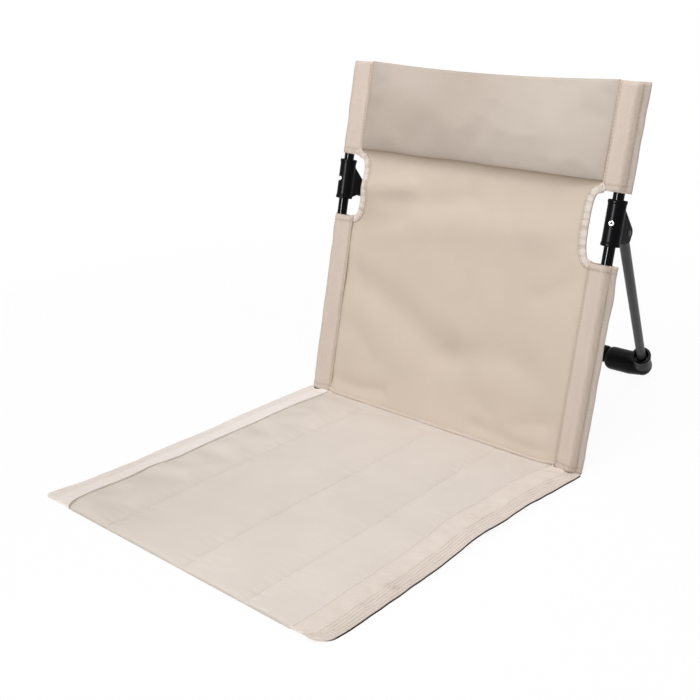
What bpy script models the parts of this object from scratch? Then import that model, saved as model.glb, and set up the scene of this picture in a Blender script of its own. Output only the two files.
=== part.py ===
"""Folding camping chair without legs.

A padded seat cloth lies on the ground and hinges at its rear seam to a cloth back. The back is sewn into
pockets on two leaning uprights, and a rear stand of two legs, two feet and a crossbar holds it up. The stand
hinges on a plastic sleeve on each upright and folds flat behind the back.

Metres, +Z up. The chair faces -Y. Left is -X and right is +X, as seen from the front.
"""
import math

import bmesh
import bpy
from mathutils import Matrix, Vector
from mathutils.geometry import convex_hull_2d

# Frame sizes
UPRIGHT_SPACING = 0.400
BACK_LEAN = math.radians(12.3)
TUBE_DIAMETER = 0.012
TUBE_WALL = 0.0012
CAP_FLANGE_RIM = 0.001
CAP_FLANGE_HEIGHT = 0.004
CAP_STEM_LENGTH = 0.012
TOP_CAP_DOME = 0.003

# Sleeve and lug sizes
SLEEVE_MIDDLE = 0.2904
SLEEVE_LENGTH = 0.052
SLEEVE_WALL = 0.0042
LUG_REACH = 0.013
LUG_DROP = 0.0094
LUG_RADIUS = 0.008
LUG_WIDTH = 0.017
LUG_ROOT_DEPTH = 0.0062
LUG_TOP_STEP = 0.0085
LUG_BOTTOM_STEP = 0.002
PIN_DIAMETER = 0.005
RIVET_HEAD_DIAMETER = 0.0068
RIVET_HEAD_HEIGHT = 0.0012
RIVET_RIM_HEIGHT = 0.0004
RIVET_CROWN_DIAMETER = 0.0047
RIVET_EYE_DIAMETER = 0.0026
RIVET_EYE_DEPTH = 0.0008
RIVET_SHANK_DIAMETER = 0.004
RIVET_REACH = 0.002
RIVET_TURN = math.radians(13.0)

# Stand sizes
FOOT_SPACING = 0.2272
FOOT_DISTANCE = 0.3316
TONGUE_THICKNESS = 0.008
TONGUE_RADIUS = 0.0065
TONGUE_LENGTH = 0.009
SLOT_ROOM = 0.0008
SHOULDER_START = 0.013
SHOULDER_LENGTH = 0.0037
SPIGOT_LENGTH = 0.015
LEG_END = 0.008
BARREL_DIAMETER = 0.033
BARREL_LENGTH = 0.054
BARREL_TIP = 0.008
BARREL_TIP_INSET = 0.005
BARREL_TAPER = 0.018
BARREL_DOME = 0.0125
BARREL_DOME_DIAMETER = 0.0280
FOOT_FLAT = 0.0007
CUP_DIAMETER = 0.0244
CUP_LENGTH = 0.035
CUP_MOUTH_DIAMETER = 0.0184
CUP_MOUTH_DEPTH = 0.012
CUP_START = 0.002
CROSSBAR_RISE = 0.0035
CROSSBAR_DEPTH = 0.022
COLLAR_DIAMETER = 0.0245
COLLAR_WIDTH = 0.012
COLLAR_ROUND = 0.003

# Cloth sizes
CLOTH = 0.0012
PANEL_THICKNESS = 0.0024
POCKET_OUTER_FLANGE = 0.006
POCKET_INNER_FLANGE = 0.0145
POCKET_BOTTOM_ROOM = 0.0006
SLEEVE_ROOM_BELOW = 0.0239
SLEEVE_ROOM_ABOVE = 0.0106
UPPER_POCKET_LENGTH = 0.1175
TOP_SAG = 0.005
SCALLOP_DEPTH = 0.0088
SCALLOP_TOP_ROOM = 0.0035
BINDING_WIDTH = 0.009
BINDING_THICKNESS = 0.0028
PANEL_CURVE_HEIGHT = 0.060
HEADREST_MARGIN = 0.0025
HEADREST_THICKNESS = 0.014
HEADREST_TOP_ROOM = 0.005
FOLD_SEAM_DIAMETER = 0.005

# Seat sizes
SEAT_DEPTH = 0.4260
SEAT_BASE_CLOTH = 0.001
SEAT_COVER_CLOTH = 0.001
SEAT_FOAM = 0.004
SEAT_STITCHES = (-0.100, 0.016, 0.112)
SEAT_END_SLOPE = 0.012
FOAM_MARGIN = 0.004
STRIP_THICKNESS = 0.0024
STRIP_LIFT = {"left": 0.002, "right": 0.006}
STRIP_WAVES = 3

# Clearance between neighbours
GAP = 0.0003

# Mesh settings: merge distance, shading, faces and steps of the round and soft shapes
WELD = 0.00001
SHARP_ANGLE = math.radians(35)
SIDES = 24
DOME_STEPS = 4
SCALLOP_STEPS = 14
PANEL_COLUMNS = 8
PANEL_CURVE_STEPS = 4
PANEL_TOP_STEPS = 4
SEAT_ROWS = 4
STRIP_COLUMNS = 3
STRIP_ROWS = 24
CUTTER_REACH = 0.010

# Places worked out from the sizes. Back places are along the upright from the ground and behind its axis.
TUBE_RADIUS = TUBE_DIAMETER / 2
TUBE_BORE = TUBE_RADIUS - TUBE_WALL
UPRIGHT_X = UPRIGHT_SPACING / 2
SLEEVE_RADIUS = TUBE_RADIUS + GAP + SLEEVE_WALL
SLEEVE_BOTTOM = SLEEVE_MIDDLE - SLEEVE_LENGTH / 2
SLEEVE_TOP = SLEEVE_MIDDLE + SLEEVE_LENGTH / 2
PIVOT_BACK = SLEEVE_RADIUS + LUG_REACH
PIVOT_HEIGHT = SLEEVE_MIDDLE - LUG_DROP
POCKET_BULGE = TUBE_RADIUS + GAP + CLOTH
SEAM_X = UPRIGHT_X - POCKET_BULGE - POCKET_INNER_FLANGE
EDGE_X = UPRIGHT_X + POCKET_BULGE + POCKET_OUTER_FLANGE
LOWER_POCKET_BOTTOM = CAP_FLANGE_HEIGHT + POCKET_BOTTOM_ROOM
LOWER_POCKET_TOP = SLEEVE_BOTTOM - SLEEVE_ROOM_BELOW
UPPER_POCKET_BOTTOM = SLEEVE_TOP + SLEEVE_ROOM_ABOVE
BACK_HEIGHT = UPPER_POCKET_BOTTOM + UPPER_POCKET_LENGTH
UPRIGHT_TOP = BACK_HEIGHT - CLOTH - GAP - TOP_CAP_DOME - GAP

# Fold line: in front of the pockets, level with the top of the seat
FOLD_FRONT = POCKET_BULGE + GAP
FOLD_RADIUS = FOLD_SEAM_DIAMETER / 2
COVER_LOW = SEAT_BASE_CLOTH + GAP
COVER_HIGH = COVER_LOW + SEAT_FOAM + GAP
FOLD_Z = COVER_HIGH + SEAT_COVER_CLOTH
FOLD_ALONG = (FOLD_Z - FOLD_FRONT * math.sin(BACK_LEAN)) / math.cos(BACK_LEAN)
FOLD_Y = FOLD_ALONG * math.sin(BACK_LEAN) - FOLD_FRONT * math.cos(BACK_LEAN)
SEAT_REAR = FOLD_RADIUS + GAP

# Stand places, seen from the foot of the uprights
PIVOT_Y = PIVOT_HEIGHT * math.sin(BACK_LEAN) + PIVOT_BACK * math.cos(BACK_LEAN)
PIVOT_Z = PIVOT_HEIGHT * math.cos(BACK_LEAN) - PIVOT_BACK * math.sin(BACK_LEAN)
BARREL_RADIUS = BARREL_DIAMETER / 2
FOOT_X = FOOT_SPACING / 2
FOOT_Z = BARREL_RADIUS - FOOT_FLAT
BARREL_INNER_X = FOOT_X - BARREL_LENGTH

# The middle of the chair's floor plan is at y = 0
CHAIR_FRONT = FOLD_Y - SEAT_DEPTH
CHAIR_REAR = FOOT_DISTANCE + BARREL_RADIUS
UPRIGHT_FOOT_Y = -(CHAIR_FRONT + CHAIR_REAR) / 2

# Scallop between the pockets: an oval notch that leaves room for the sleeve
SCALLOP_BOTTOM = LOWER_POCKET_TOP
SCALLOP_TOP = UPPER_POCKET_BOTTOM - SCALLOP_TOP_ROOM
SCALLOP_MIDDLE = (SCALLOP_BOTTOM + SCALLOP_TOP) / 2
SCALLOP_HALF = (SCALLOP_TOP - SCALLOP_BOTTOM) / 2
SCALLOP_POWER = 3

# Shares at which the pads are shaped: from the middle of the headrest to its rim, and across one seat channel,
# where the second number is the share of the crest
HEADREST_NODES = (0.0, 0.35, 0.65, 0.85, 0.95, 1.0)
HEADREST_CROWN_POWER = 4
CHANNEL_NODES = ((0.0, 0.0), (0.2, 0.8), (0.5, 1.0), (0.8, 0.8), (1.0, 0.0))

# Colour, roughness and metallic value of each finish
FINISHES = {
    "panel_cloth": ((0.60, 0.51, 0.41), 0.85, 0.0),
    "edge_cloth": ((0.71, 0.61, 0.53), 0.85, 0.0),
    "base_cloth": ((0.10, 0.10, 0.10), 0.90, 0.0),
    "foam": ((0.80, 0.80, 0.78), 0.95, 0.0),
    "black_tube": ((0.008, 0.008, 0.009), 0.15, 0.3),
    "grey_tube": ((0.07, 0.07, 0.075), 0.35, 0.4),
    "black_plastic": ((0.010, 0.010, 0.012), 0.45, 0.0),
    "bright_steel": ((0.75, 0.75, 0.74), 0.25, 1.0),
    "dark_steel": ((0.05, 0.05, 0.05), 0.40, 0.9),
}
SIDE_SIGNS = {"left": -1, "right": 1}

# The curve mesh lies in X and Y: this turns it into Y and Z, with its thickness along X
SIDEWAYS = Matrix(((0, 0, 1, 0), (1, 0, 0, 0), (0, 1, 0, 0), (0, 0, 0, 1)))


def clear_scene():
    for old in list(bpy.data.objects):
        bpy.data.objects.remove(old, do_unlink=True)


def new_collection(name):
    collection = bpy.data.collections.new(name)
    bpy.context.scene.collection.children.link(collection)
    return collection


def new_empty(name, parent, location, lean=0.0):
    empty = bpy.data.objects.new(name, None)
    chair.objects.link(empty)
    empty.parent = parent
    empty.location = location
    empty.rotation_euler = (lean, 0, 0)
    return empty


def place(thing, parent, matrix):
    thing.parent = parent
    thing.location = matrix.to_translation()
    thing.rotation_euler = matrix.to_euler()


def add_part(name, mesh, parent, finish, matrix=None):
    part = bpy.data.objects.new(name, mesh)
    chair.objects.link(part)
    place(part, parent, matrix or Matrix())
    mesh.shade_smooth()
    mesh.set_sharp_from_angle(angle=SHARP_ANGLE)
    colour, roughness, metallic = FINISHES[finish]
    material = bpy.data.materials.new(name + "_" + finish)
    material.use_nodes = True
    shader = material.node_tree.nodes["Principled BSDF"]
    shader.inputs["Base Color"].default_value = (*colour, 1)
    shader.inputs["Roughness"].default_value = roughness
    shader.inputs["Metallic"].default_value = metallic
    part.data.materials.append(material)
    return part


def add_cutter(name, mesh, parent, matrix=None):
    cutter = bpy.data.objects.new(name, mesh)
    cutters.objects.link(cutter)
    place(cutter, parent, matrix or Matrix())
    cutter.hide_render = True
    cutter.display_type = "WIRE"
    return cutter


def combine(part, other, operation):
    modifier = part.modifiers.new(other.name, "BOOLEAN")
    modifier.operation = operation
    modifier.solver = "EXACT"
    modifier.object = other


def thicken(part, thickness, offset):
    modifier = part.modifiers.new("thickness", "SOLIDIFY")
    modifier.thickness = thickness
    modifier.offset = offset


def mesh_from(shape, name):
    mesh = bpy.data.meshes.new(name)
    shape.to_mesh(mesh)
    shape.free()
    return mesh


def along(start, direction):
    """Matrix that puts local +Z on a line from start."""
    return Matrix.Translation(start) @ direction.to_track_quat("Z", "X").to_matrix().to_4x4()


def rod_mesh(name, radius, bottom, top, closed=True):
    shape = bmesh.new()
    middle = Matrix.Translation((0, 0, (bottom + top) / 2))
    bmesh.ops.create_cone(shape, cap_ends=closed, segments=SIDES, radius1=radius, radius2=radius,
                          depth=top - bottom, matrix=middle)
    return mesh_from(shape, name)


def box_mesh(name, low, high):
    shape = bmesh.new()
    low, high = Vector(low), Vector(high)
    size = Matrix.Diagonal((*(high - low), 1))
    bmesh.ops.create_cube(shape, size=1, matrix=Matrix.Translation((low + high) / 2) @ size)
    return mesh_from(shape, name)


def profile_mesh(name, points, closed=False):
    """Half section in X and Z for a turned piece, from its top down its outer side."""
    shape = bmesh.new()
    verts = [shape.verts.new((radius, 0, height)) for radius, height in points]
    for first, second in zip(verts, verts[1:]):
        shape.edges.new((first, second))
    if closed:
        shape.edges.new((verts[-1], verts[0]))
    return mesh_from(shape, name)


def turn(part):
    modifier = part.modifiers.new("turned", "SCREW")
    modifier.axis = "Z"
    modifier.angle = 2 * math.pi
    modifier.steps = SIDES
    modifier.render_steps = SIDES
    modifier.use_merge_vertices = True
    modifier.merge_threshold = WELD


def outline_mesh(name, points, thickness):
    """Flat outline, thickened evenly to both sides of its plane."""
    curve = bpy.data.curves.new(name, "CURVE")
    curve.dimensions = "2D"
    curve.fill_mode = "BOTH"
    curve.extrude = thickness / 2
    spline = curve.splines.new("POLY")
    spline.points.add(len(points) - 1)
    for point, (x, y) in zip(spline.points, points):
        point.co = (x, y, 0, 1)
    spline.use_cyclic_u = True
    guide = bpy.data.objects.new(name + "_outline", curve)
    cutters.objects.link(guide)
    depsgraph = bpy.context.evaluated_depsgraph_get()
    mesh = bpy.data.meshes.new_from_object(guide.evaluated_get(depsgraph))
    shape = bmesh.new()
    shape.from_mesh(mesh)
    bmesh.ops.remove_doubles(shape, verts=shape.verts, dist=WELD)
    bmesh.ops.recalc_face_normals(shape, faces=shape.faces)
    shape.to_mesh(mesh)
    shape.free()
    bpy.data.objects.remove(guide, do_unlink=True)
    return mesh


def circle_points(centre, radius):
    turns = [2 * math.pi * step / SIDES for step in range(SIDES)]
    return [Vector((centre[0] + radius * math.cos(t), centre[1] + radius * math.sin(t))) for t in turns]


def quarter_turn():
    return [math.pi / 2 * step / DOME_STEPS for step in range(DOME_STEPS + 1)]


def hull(points):
    return [points[index] for index in convex_hull_2d(points)]


def grid_mesh(name, columns, rows, point_at):
    """Open sheet: point_at takes a column and a row number."""
    shape = bmesh.new()
    bmesh.ops.create_grid(shape, x_segments=columns, y_segments=rows, size=1)
    for vert in shape.verts:
        column = round((vert.co.x + 1) / 2 * columns)
        row = round((vert.co.y + 1) / 2 * rows)
        vert.co = point_at(column, row)
    return mesh_from(shape, name)


def pad_mesh(name, columns, rows, front_at, back_at):
    """Closed pad: a front and a back sheet, joined at the rim."""
    shape = bmesh.new()
    bmesh.ops.create_grid(shape, x_segments=columns, y_segments=rows, size=1)
    pulled = bmesh.ops.extrude_face_region(shape, geom=shape.faces[:])["geom"]
    front = {item for item in pulled if isinstance(item, bmesh.types.BMVert)}
    for vert in shape.verts:
        column = round((vert.co.x + 1) / 2 * columns)
        row = round((vert.co.y + 1) / 2 * rows)
        vert.co = front_at(column, row) if vert in front else back_at(column, row)
    bmesh.ops.recalc_face_normals(shape, faces=shape.faces)
    if shape.calc_volume(signed=True) < 0:
        bmesh.ops.reverse_faces(shape, faces=shape.faces)
    return mesh_from(shape, name)


def add_tube(name, parent, finish, start, end):
    line = end - start
    part = add_part(name, rod_mesh(name, TUBE_RADIUS, 0, line.length, closed=False), parent, finish,
                    along(start, line))
    thicken(part, TUBE_WALL, -1)
    return part


# Backrest: uprights, caps, sleeves and rivets

def make_upright(side, sign, back, ground_cutter):
    x = sign * UPRIGHT_X
    bottom = Vector((x, 0, CAP_FLANGE_HEIGHT + GAP))
    tube = add_tube("upright_" + side, back, "black_tube", bottom, Vector((x, 0, UPRIGHT_TOP)))

    stem = TUBE_BORE - GAP
    flange = TUBE_RADIUS + CAP_FLANGE_RIM
    below = -flange * math.tan(BACK_LEAN) - GAP
    foot_profile = [(0, CAP_FLANGE_HEIGHT + CAP_STEM_LENGTH), (stem, CAP_FLANGE_HEIGHT + CAP_STEM_LENGTH),
                    (stem, CAP_FLANGE_HEIGHT), (flange, CAP_FLANGE_HEIGHT), (flange, below), (0, below)]
    foot_cap = add_part("upright_foot_cap_" + side, profile_mesh("foot_cap", foot_profile), back,
                        "black_plastic", Matrix.Translation((x, 0, 0)))
    turn(foot_cap)
    combine(foot_cap, ground_cutter, "DIFFERENCE")

    rim = UPRIGHT_TOP + GAP
    dome = [(TUBE_RADIUS * math.sin(t), rim + TOP_CAP_DOME * math.cos(t)) for t in quarter_turn()]
    top_profile = dome + [(stem, rim), (stem, rim - CAP_STEM_LENGTH), (0, rim - CAP_STEM_LENGTH)]
    top_cap = add_part("upright_top_cap_" + side, profile_mesh("top_cap", top_profile), back,
                       "black_plastic", Matrix.Translation((x, 0, 0)))
    turn(top_cap)
    return tube


def make_sleeve(side, sign, back, tube):
    x = sign * UPRIGHT_X
    axis = Matrix.Translation((x, 0, 0))
    name = "hinge_sleeve_" + side
    sleeve = add_part(name, rod_mesh(name, SLEEVE_RADIUS, SLEEVE_BOTTOM, SLEEVE_TOP), back,
                      "black_plastic", axis)
    root = SLEEVE_RADIUS - LUG_ROOT_DEPTH
    corners = [Vector((root, SLEEVE_TOP - LUG_TOP_STEP)), Vector((root, SLEEVE_BOTTOM + LUG_BOTTOM_STEP))]
    lug_outline = hull(corners + circle_points((PIVOT_BACK, PIVOT_HEIGHT), LUG_RADIUS))
    lug = add_cutter(name + "_lug", outline_mesh(name + "_lug", lug_outline, LUG_WIDTH), back,
                     axis @ SIDEWAYS)
    combine(sleeve, lug, "UNION")

    bore = add_cutter(name + "_bore", rod_mesh("bore", TUBE_RADIUS + GAP, SLEEVE_BOTTOM - CUTTER_REACH,
                                               SLEEVE_TOP + CUTTER_REACH), back, axis)
    combine(sleeve, bore, "DIFFERENCE")
    half_slot = TONGUE_THICKNESS / 2 + GAP
    slot_front = PIVOT_BACK - TONGUE_RADIUS - SLOT_ROOM
    slot_rear = PIVOT_BACK + LUG_RADIUS + CUTTER_REACH
    slot = add_cutter(name + "_slot", box_mesh("slot", (-half_slot, slot_front, SLEEVE_BOTTOM - CUTTER_REACH),
                                               (half_slot, slot_rear, SLEEVE_TOP + CUTTER_REACH)), back, axis)
    combine(sleeve, slot, "DIFFERENCE")
    pin_line = along(Vector((x, PIVOT_BACK, PIVOT_HEIGHT)), Vector((1, 0, 0)))
    pin_reach = LUG_WIDTH / 2 + CUTTER_REACH
    pin_hole = add_cutter(name + "_pin_hole", rod_mesh("pin_hole", PIN_DIAMETER / 2 + GAP, -pin_reach,
                                                       pin_reach), back, pin_line)
    combine(sleeve, pin_hole, "DIFFERENCE")
    add_part("hinge_pin_" + side, rod_mesh("hinge_pin", PIN_DIAMETER / 2, -LUG_WIDTH / 2, LUG_WIDTH / 2),
             back, "dark_steel", pin_line)

    outward = Vector((sign * math.sin(RIVET_TURN), -math.cos(RIVET_TURN), 0))
    rivet_line = along(Vector((x, 0, SLEEVE_MIDDLE)), outward)
    shank = RIVET_SHANK_DIAMETER / 2
    seat = SLEEVE_RADIUS + GAP
    top = seat + RIVET_HEAD_HEIGHT
    eye = RIVET_EYE_DIAMETER / 2
    crown = RIVET_CROWN_DIAMETER / 2
    head = RIVET_HEAD_DIAMETER / 2
    inner_end = TUBE_BORE - RIVET_REACH
    rivet_profile = [(0, top - RIVET_EYE_DEPTH), (eye, top - RIVET_EYE_DEPTH), (eye, top),
                     (crown, top), (head, seat + RIVET_RIM_HEIGHT), (head, seat),
                     (shank, seat), (shank, inner_end), (0, inner_end)]
    rivet = add_part("sleeve_rivet_" + side, profile_mesh("sleeve_rivet", rivet_profile), back,
                     "bright_steel", rivet_line)
    turn(rivet)
    rivet_hole = add_cutter(name + "_rivet_hole", rod_mesh("rivet_hole", shank + GAP, 0,
                                                           SLEEVE_RADIUS + CUTTER_REACH), back, rivet_line)
    combine(sleeve, rivet_hole, "DIFFERENCE")
    combine(tube, rivet_hole, "DIFFERENCE")


# Backrest: cloth

def pocket_outline():
    """Cloth drawn taut round the tube, flat at the seam and at the outer edge, for the right side."""
    half = PANEL_THICKNESS / 2
    seam = -POCKET_BULGE - POCKET_INNER_FLANGE
    edge = POCKET_BULGE + POCKET_OUTER_FLANGE
    flats = [Vector((x, y)) for x in (seam, edge) for y in (-half, half)]
    return hull(flats + circle_points((0, 0), POCKET_BULGE))


def make_pocket(name, sign, back, bottom, top, bore_top):
    outline = [(sign * x, y) for x, y in pocket_outline()]
    middle = Matrix.Translation((sign * UPRIGHT_X, 0, (bottom + top) / 2))
    pocket = add_part(name, outline_mesh(name, outline, top - bottom), back, "edge_cloth", middle)
    bore = add_cutter(name + "_bore", rod_mesh("bore", TUBE_RADIUS + GAP, bottom - CUTTER_REACH, bore_top),
                      back, Matrix.Translation((sign * UPRIGHT_X, 0, 0)))
    combine(pocket, bore, "DIFFERENCE")


def scallop_depth(height, grow):
    """How far the notch, grown all round by grow, cuts in from the seam at a height."""
    reach = abs(height - SCALLOP_MIDDLE) / (SCALLOP_HALF + grow)
    if reach >= 1:
        return 0.0
    return (SCALLOP_DEPTH + grow) * (1 - reach ** SCALLOP_POWER) ** (1 / SCALLOP_POWER)


def scallop_point(step, grow):
    """Depth and height of a point on the notch's edge, from its bottom end to its top end."""
    turn_angle = math.pi * (1 - step / SCALLOP_STEPS)
    power = 2 / SCALLOP_POWER
    height = SCALLOP_MIDDLE + (SCALLOP_HALF + grow) * math.copysign(abs(math.cos(turn_angle)) ** power,
                                                                    math.cos(turn_angle))
    return (SCALLOP_DEPTH + grow) * math.sin(turn_angle) ** power, height


def top_sag(x, share):
    return TOP_SAG * share * (1 - (x / SEAM_X) ** 2)


def panel_heights():
    """Rows of the back panel: close together round the notch and in the curve above the fold."""
    bottom = FOLD_ALONG + FOLD_RADIUS + 2 * GAP
    grow = BINDING_WIDTH + GAP
    curve = [bottom + PANEL_CURVE_HEIGHT * step / PANEL_CURVE_STEPS for step in range(PANEL_CURVE_STEPS + 1)]
    notch = [scallop_point(step, grow)[1] for step in range(SCALLOP_STEPS + 1)]
    below = [(curve[-1] + notch[0]) / 2]
    top_step = (BACK_HEIGHT - notch[-1]) / PANEL_TOP_STEPS
    above = [notch[-1] + top_step * step for step in range(1, PANEL_TOP_STEPS + 1)]
    return curve + below + notch + above


def make_back_panel(back):
    heights = panel_heights()
    rows = len(heights) - 1
    grow = BINDING_WIDTH + GAP
    bottom_front = FOLD_FRONT - PANEL_THICKNESS / 2
    sag_start = UPPER_POCKET_BOTTOM

    def point_at(column, row):
        height = heights[row]
        half_width = SEAM_X - GAP - scallop_depth(height, grow)
        x = half_width * (2 * column / PANEL_COLUMNS - 1)
        rise = min((height - heights[0]) / PANEL_CURVE_HEIGHT, 1)
        forward = bottom_front * (1 - rise) ** 2
        share = max(height - sag_start, 0) / (BACK_HEIGHT - sag_start)
        return x, -forward, height - top_sag(x, share)

    panel = add_part("back_panel", grid_mesh("back_panel", PANEL_COLUMNS, rows, point_at), back, "panel_cloth")
    thicken(panel, PANEL_THICKNESS, 0)


def make_binding(side, sign, back):
    def point_at(column, row):
        depth, height = scallop_point(row, BINDING_WIDTH * column)
        return sign * (SEAM_X - GAP - depth), 0, height

    name = "scallop_binding_" + side
    binding = add_part(name, grid_mesh(name, 1, SCALLOP_STEPS, point_at), back, "edge_cloth")
    thicken(binding, BINDING_THICKNESS, 0)


def make_headrest(back):
    """Foam pad on the front of the back panel, and the cover sewn down round it."""
    nodes = [-share for share in reversed(HEADREST_NODES)] + list(HEADREST_NODES[1:])
    half_width = SEAM_X - HEADREST_MARGIN
    bottom = UPPER_POCKET_BOTTOM + HEADREST_MARGIN
    top = BACK_HEIGHT - HEADREST_TOP_ROOM
    base = PANEL_THICKNESS / 2 + GAP

    def surface(inset, first_node, crowned):
        def point_at(column, row):
            u = nodes[column + first_node]
            v = nodes[row + first_node]
            x = u * (half_width - inset)
            height = (bottom + top) / 2 + v * ((top - bottom) / 2 - inset)
            share = (height - bottom) / (top - bottom)
            fullness = (1 - u ** HEADREST_CROWN_POWER) * (1 - v ** HEADREST_CROWN_POWER)
            crown = math.sqrt(fullness) if crowned else 0
            return x, -base - (HEADREST_THICKNESS - inset) * crown, height - top_sag(x, share)
        return point_at

    cells = len(nodes) - 1
    cover = pad_mesh("headrest_cover", cells, cells, surface(0, 0, True), surface(CLOTH, 0, True))
    add_part("headrest_cover", cover, back, "panel_cloth")
    inset = CLOTH + GAP
    foam = pad_mesh("headrest_foam", cells - 2, cells - 2, surface(inset, 1, True), surface(inset, 1, False))
    add_part("headrest_foam", foam, back, "foam")


def make_fold_seam(back):
    line = along(Vector((0, -FOLD_FRONT, FOLD_ALONG)), Vector((1, 0, 0)))
    length = SEAM_X - GAP
    add_part("fold_seam", rod_mesh("fold_seam", FOLD_RADIUS, -length, length), back, "panel_cloth", line)


# Seat: places are seen from the fold line

def channel_height(share):
    """Height of the cover's underside across one channel, from one stitch line to the next."""
    for (start, low), (end, high) in zip(CHANNEL_NODES, CHANNEL_NODES[1:]):
        if share <= end:
            crest = low + (high - low) * (share - start) / (end - start)
            break
    return COVER_LOW + (COVER_HIGH - COVER_LOW) * crest - FOLD_Z


def seat_channels():
    """Left and right edge of each channel: the side seams and the stitch lines between them."""
    half = SEAM_X - GAP / 2
    edges = [-half, *SEAT_STITCHES, half]
    return list(zip(edges, edges[1:]))


def make_seat_cover(seat):
    places = []
    shares = []
    for left, right in seat_channels():
        for share, _ in CHANNEL_NODES[:-1]:
            places.append(left + (right - left) * share)
            shares.append(share)
    places.append(right)
    shares.append(CHANNEL_NODES[-1][0])
    slope = -SEAT_DEPTH + SEAT_END_SLOPE
    rows = [-SEAT_DEPTH] + [slope + (-SEAT_REAR - slope) * step / SEAT_ROWS for step in range(SEAT_ROWS + 1)]

    def bottom_at(column, row):
        height = channel_height(shares[column]) if row else COVER_LOW - FOLD_Z
        return Vector((places[column], rows[row], height))

    def top_at(column, row):
        return bottom_at(column, row) + Vector((0, 0, SEAT_COVER_CLOTH))

    mesh = pad_mesh("seat_cover", len(places) - 1, len(rows) - 1, top_at, bottom_at)
    add_part("seat_cover", mesh, seat, "panel_cloth")


def make_seat_foam(seat):
    front = -SEAT_DEPTH + SEAT_END_SLOPE
    rear = -SEAT_REAR - FOAM_MARGIN
    for number, (left, right) in enumerate(seat_channels(), start=1):
        margin = FOAM_MARGIN / (right - left)
        shares = [margin] + [share for share, _ in CHANNEL_NODES[1:-1]] + [1 - margin]

        def place_x(column):
            return left + (right - left) * shares[column]

        def top_at(column, row):
            return place_x(column), (front, rear)[row], channel_height(shares[column]) - GAP

        def bottom_at(column, row):
            return place_x(column), (front, rear)[row], COVER_LOW - FOLD_Z

        name = "seat_foam_" + str(number)
        add_part(name, pad_mesh(name, len(shares) - 1, 1, top_at, bottom_at), seat, "foam")


def make_seat_base(seat):
    half = SEAM_X - GAP / 2
    mesh = box_mesh("seat_base", (-half, -SEAT_DEPTH, -FOLD_Z), (half, -SEAT_REAR, SEAT_BASE_CLOTH - FOLD_Z))
    add_part("seat_base", mesh, seat, "base_cloth")


def make_seat_strip(side, sign, seat):
    """Doubled edge cloth, lifted off the ground in long waves along its outer edge."""
    inner = SEAM_X + GAP / 2

    def bottom_at(column, row):
        across = column / STRIP_COLUMNS
        share = row / STRIP_ROWS
        wave = math.sin(math.pi * share) * (1 - math.cos(2 * math.pi * STRIP_WAVES * share)) / 2
        x = sign * (inner + (EDGE_X - inner) * across)
        y = -SEAT_DEPTH + (SEAT_DEPTH - SEAT_REAR) * share
        return Vector((x, y, STRIP_LIFT[side] * wave * across ** 2 - FOLD_Z))

    def top_at(column, row):
        return bottom_at(column, row) + Vector((0, 0, STRIP_THICKNESS))

    name = "seat_strip_" + side
    add_part(name, pad_mesh(name, STRIP_COLUMNS, STRIP_ROWS, top_at, bottom_at), seat, "edge_cloth")


# Rear stand: places are seen from the hinge line

def make_leg(side, stand, pivot, foot):
    direction = (foot - pivot).normalized()
    name = "leg_knuckle_" + side
    flat = Vector((direction.y, direction.z)).normalized() * TONGUE_LENGTH
    tongue_outline = hull(circle_points((0, 0), TONGUE_RADIUS) + circle_points(flat, TONGUE_RADIUS))
    knuckle = add_part(name, outline_mesh(name, tongue_outline, TONGUE_THICKNESS), stand, "black_plastic",
                       Matrix.Translation(pivot) @ SIDEWAYS)
    leg_start = SHOULDER_START + SHOULDER_LENGTH + GAP
    stem = TUBE_BORE - GAP
    spigot_end = leg_start + SPIGOT_LENGTH
    spigot_profile = [(0, spigot_end), (stem, spigot_end), (stem, SHOULDER_START + SHOULDER_LENGTH),
                      (TUBE_RADIUS, SHOULDER_START + SHOULDER_LENGTH), (TUBE_RADIUS, SHOULDER_START),
                      (0, SHOULDER_START)]
    spigot = add_cutter(name + "_spigot", profile_mesh("spigot", spigot_profile), stand,
                        along(pivot, direction))
    turn(spigot)
    combine(knuckle, spigot, "UNION")
    reach = TONGUE_THICKNESS / 2 + CUTTER_REACH
    eye = add_cutter(name + "_eye", rod_mesh("eye", PIN_DIAMETER / 2 + GAP, -reach, reach), stand,
                     along(pivot, Vector((1, 0, 0))))
    combine(knuckle, eye, "DIFFERENCE")
    add_tube("leg_" + side, stand, "grey_tube", pivot + direction * leg_start, foot - direction * LEG_END)


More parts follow.
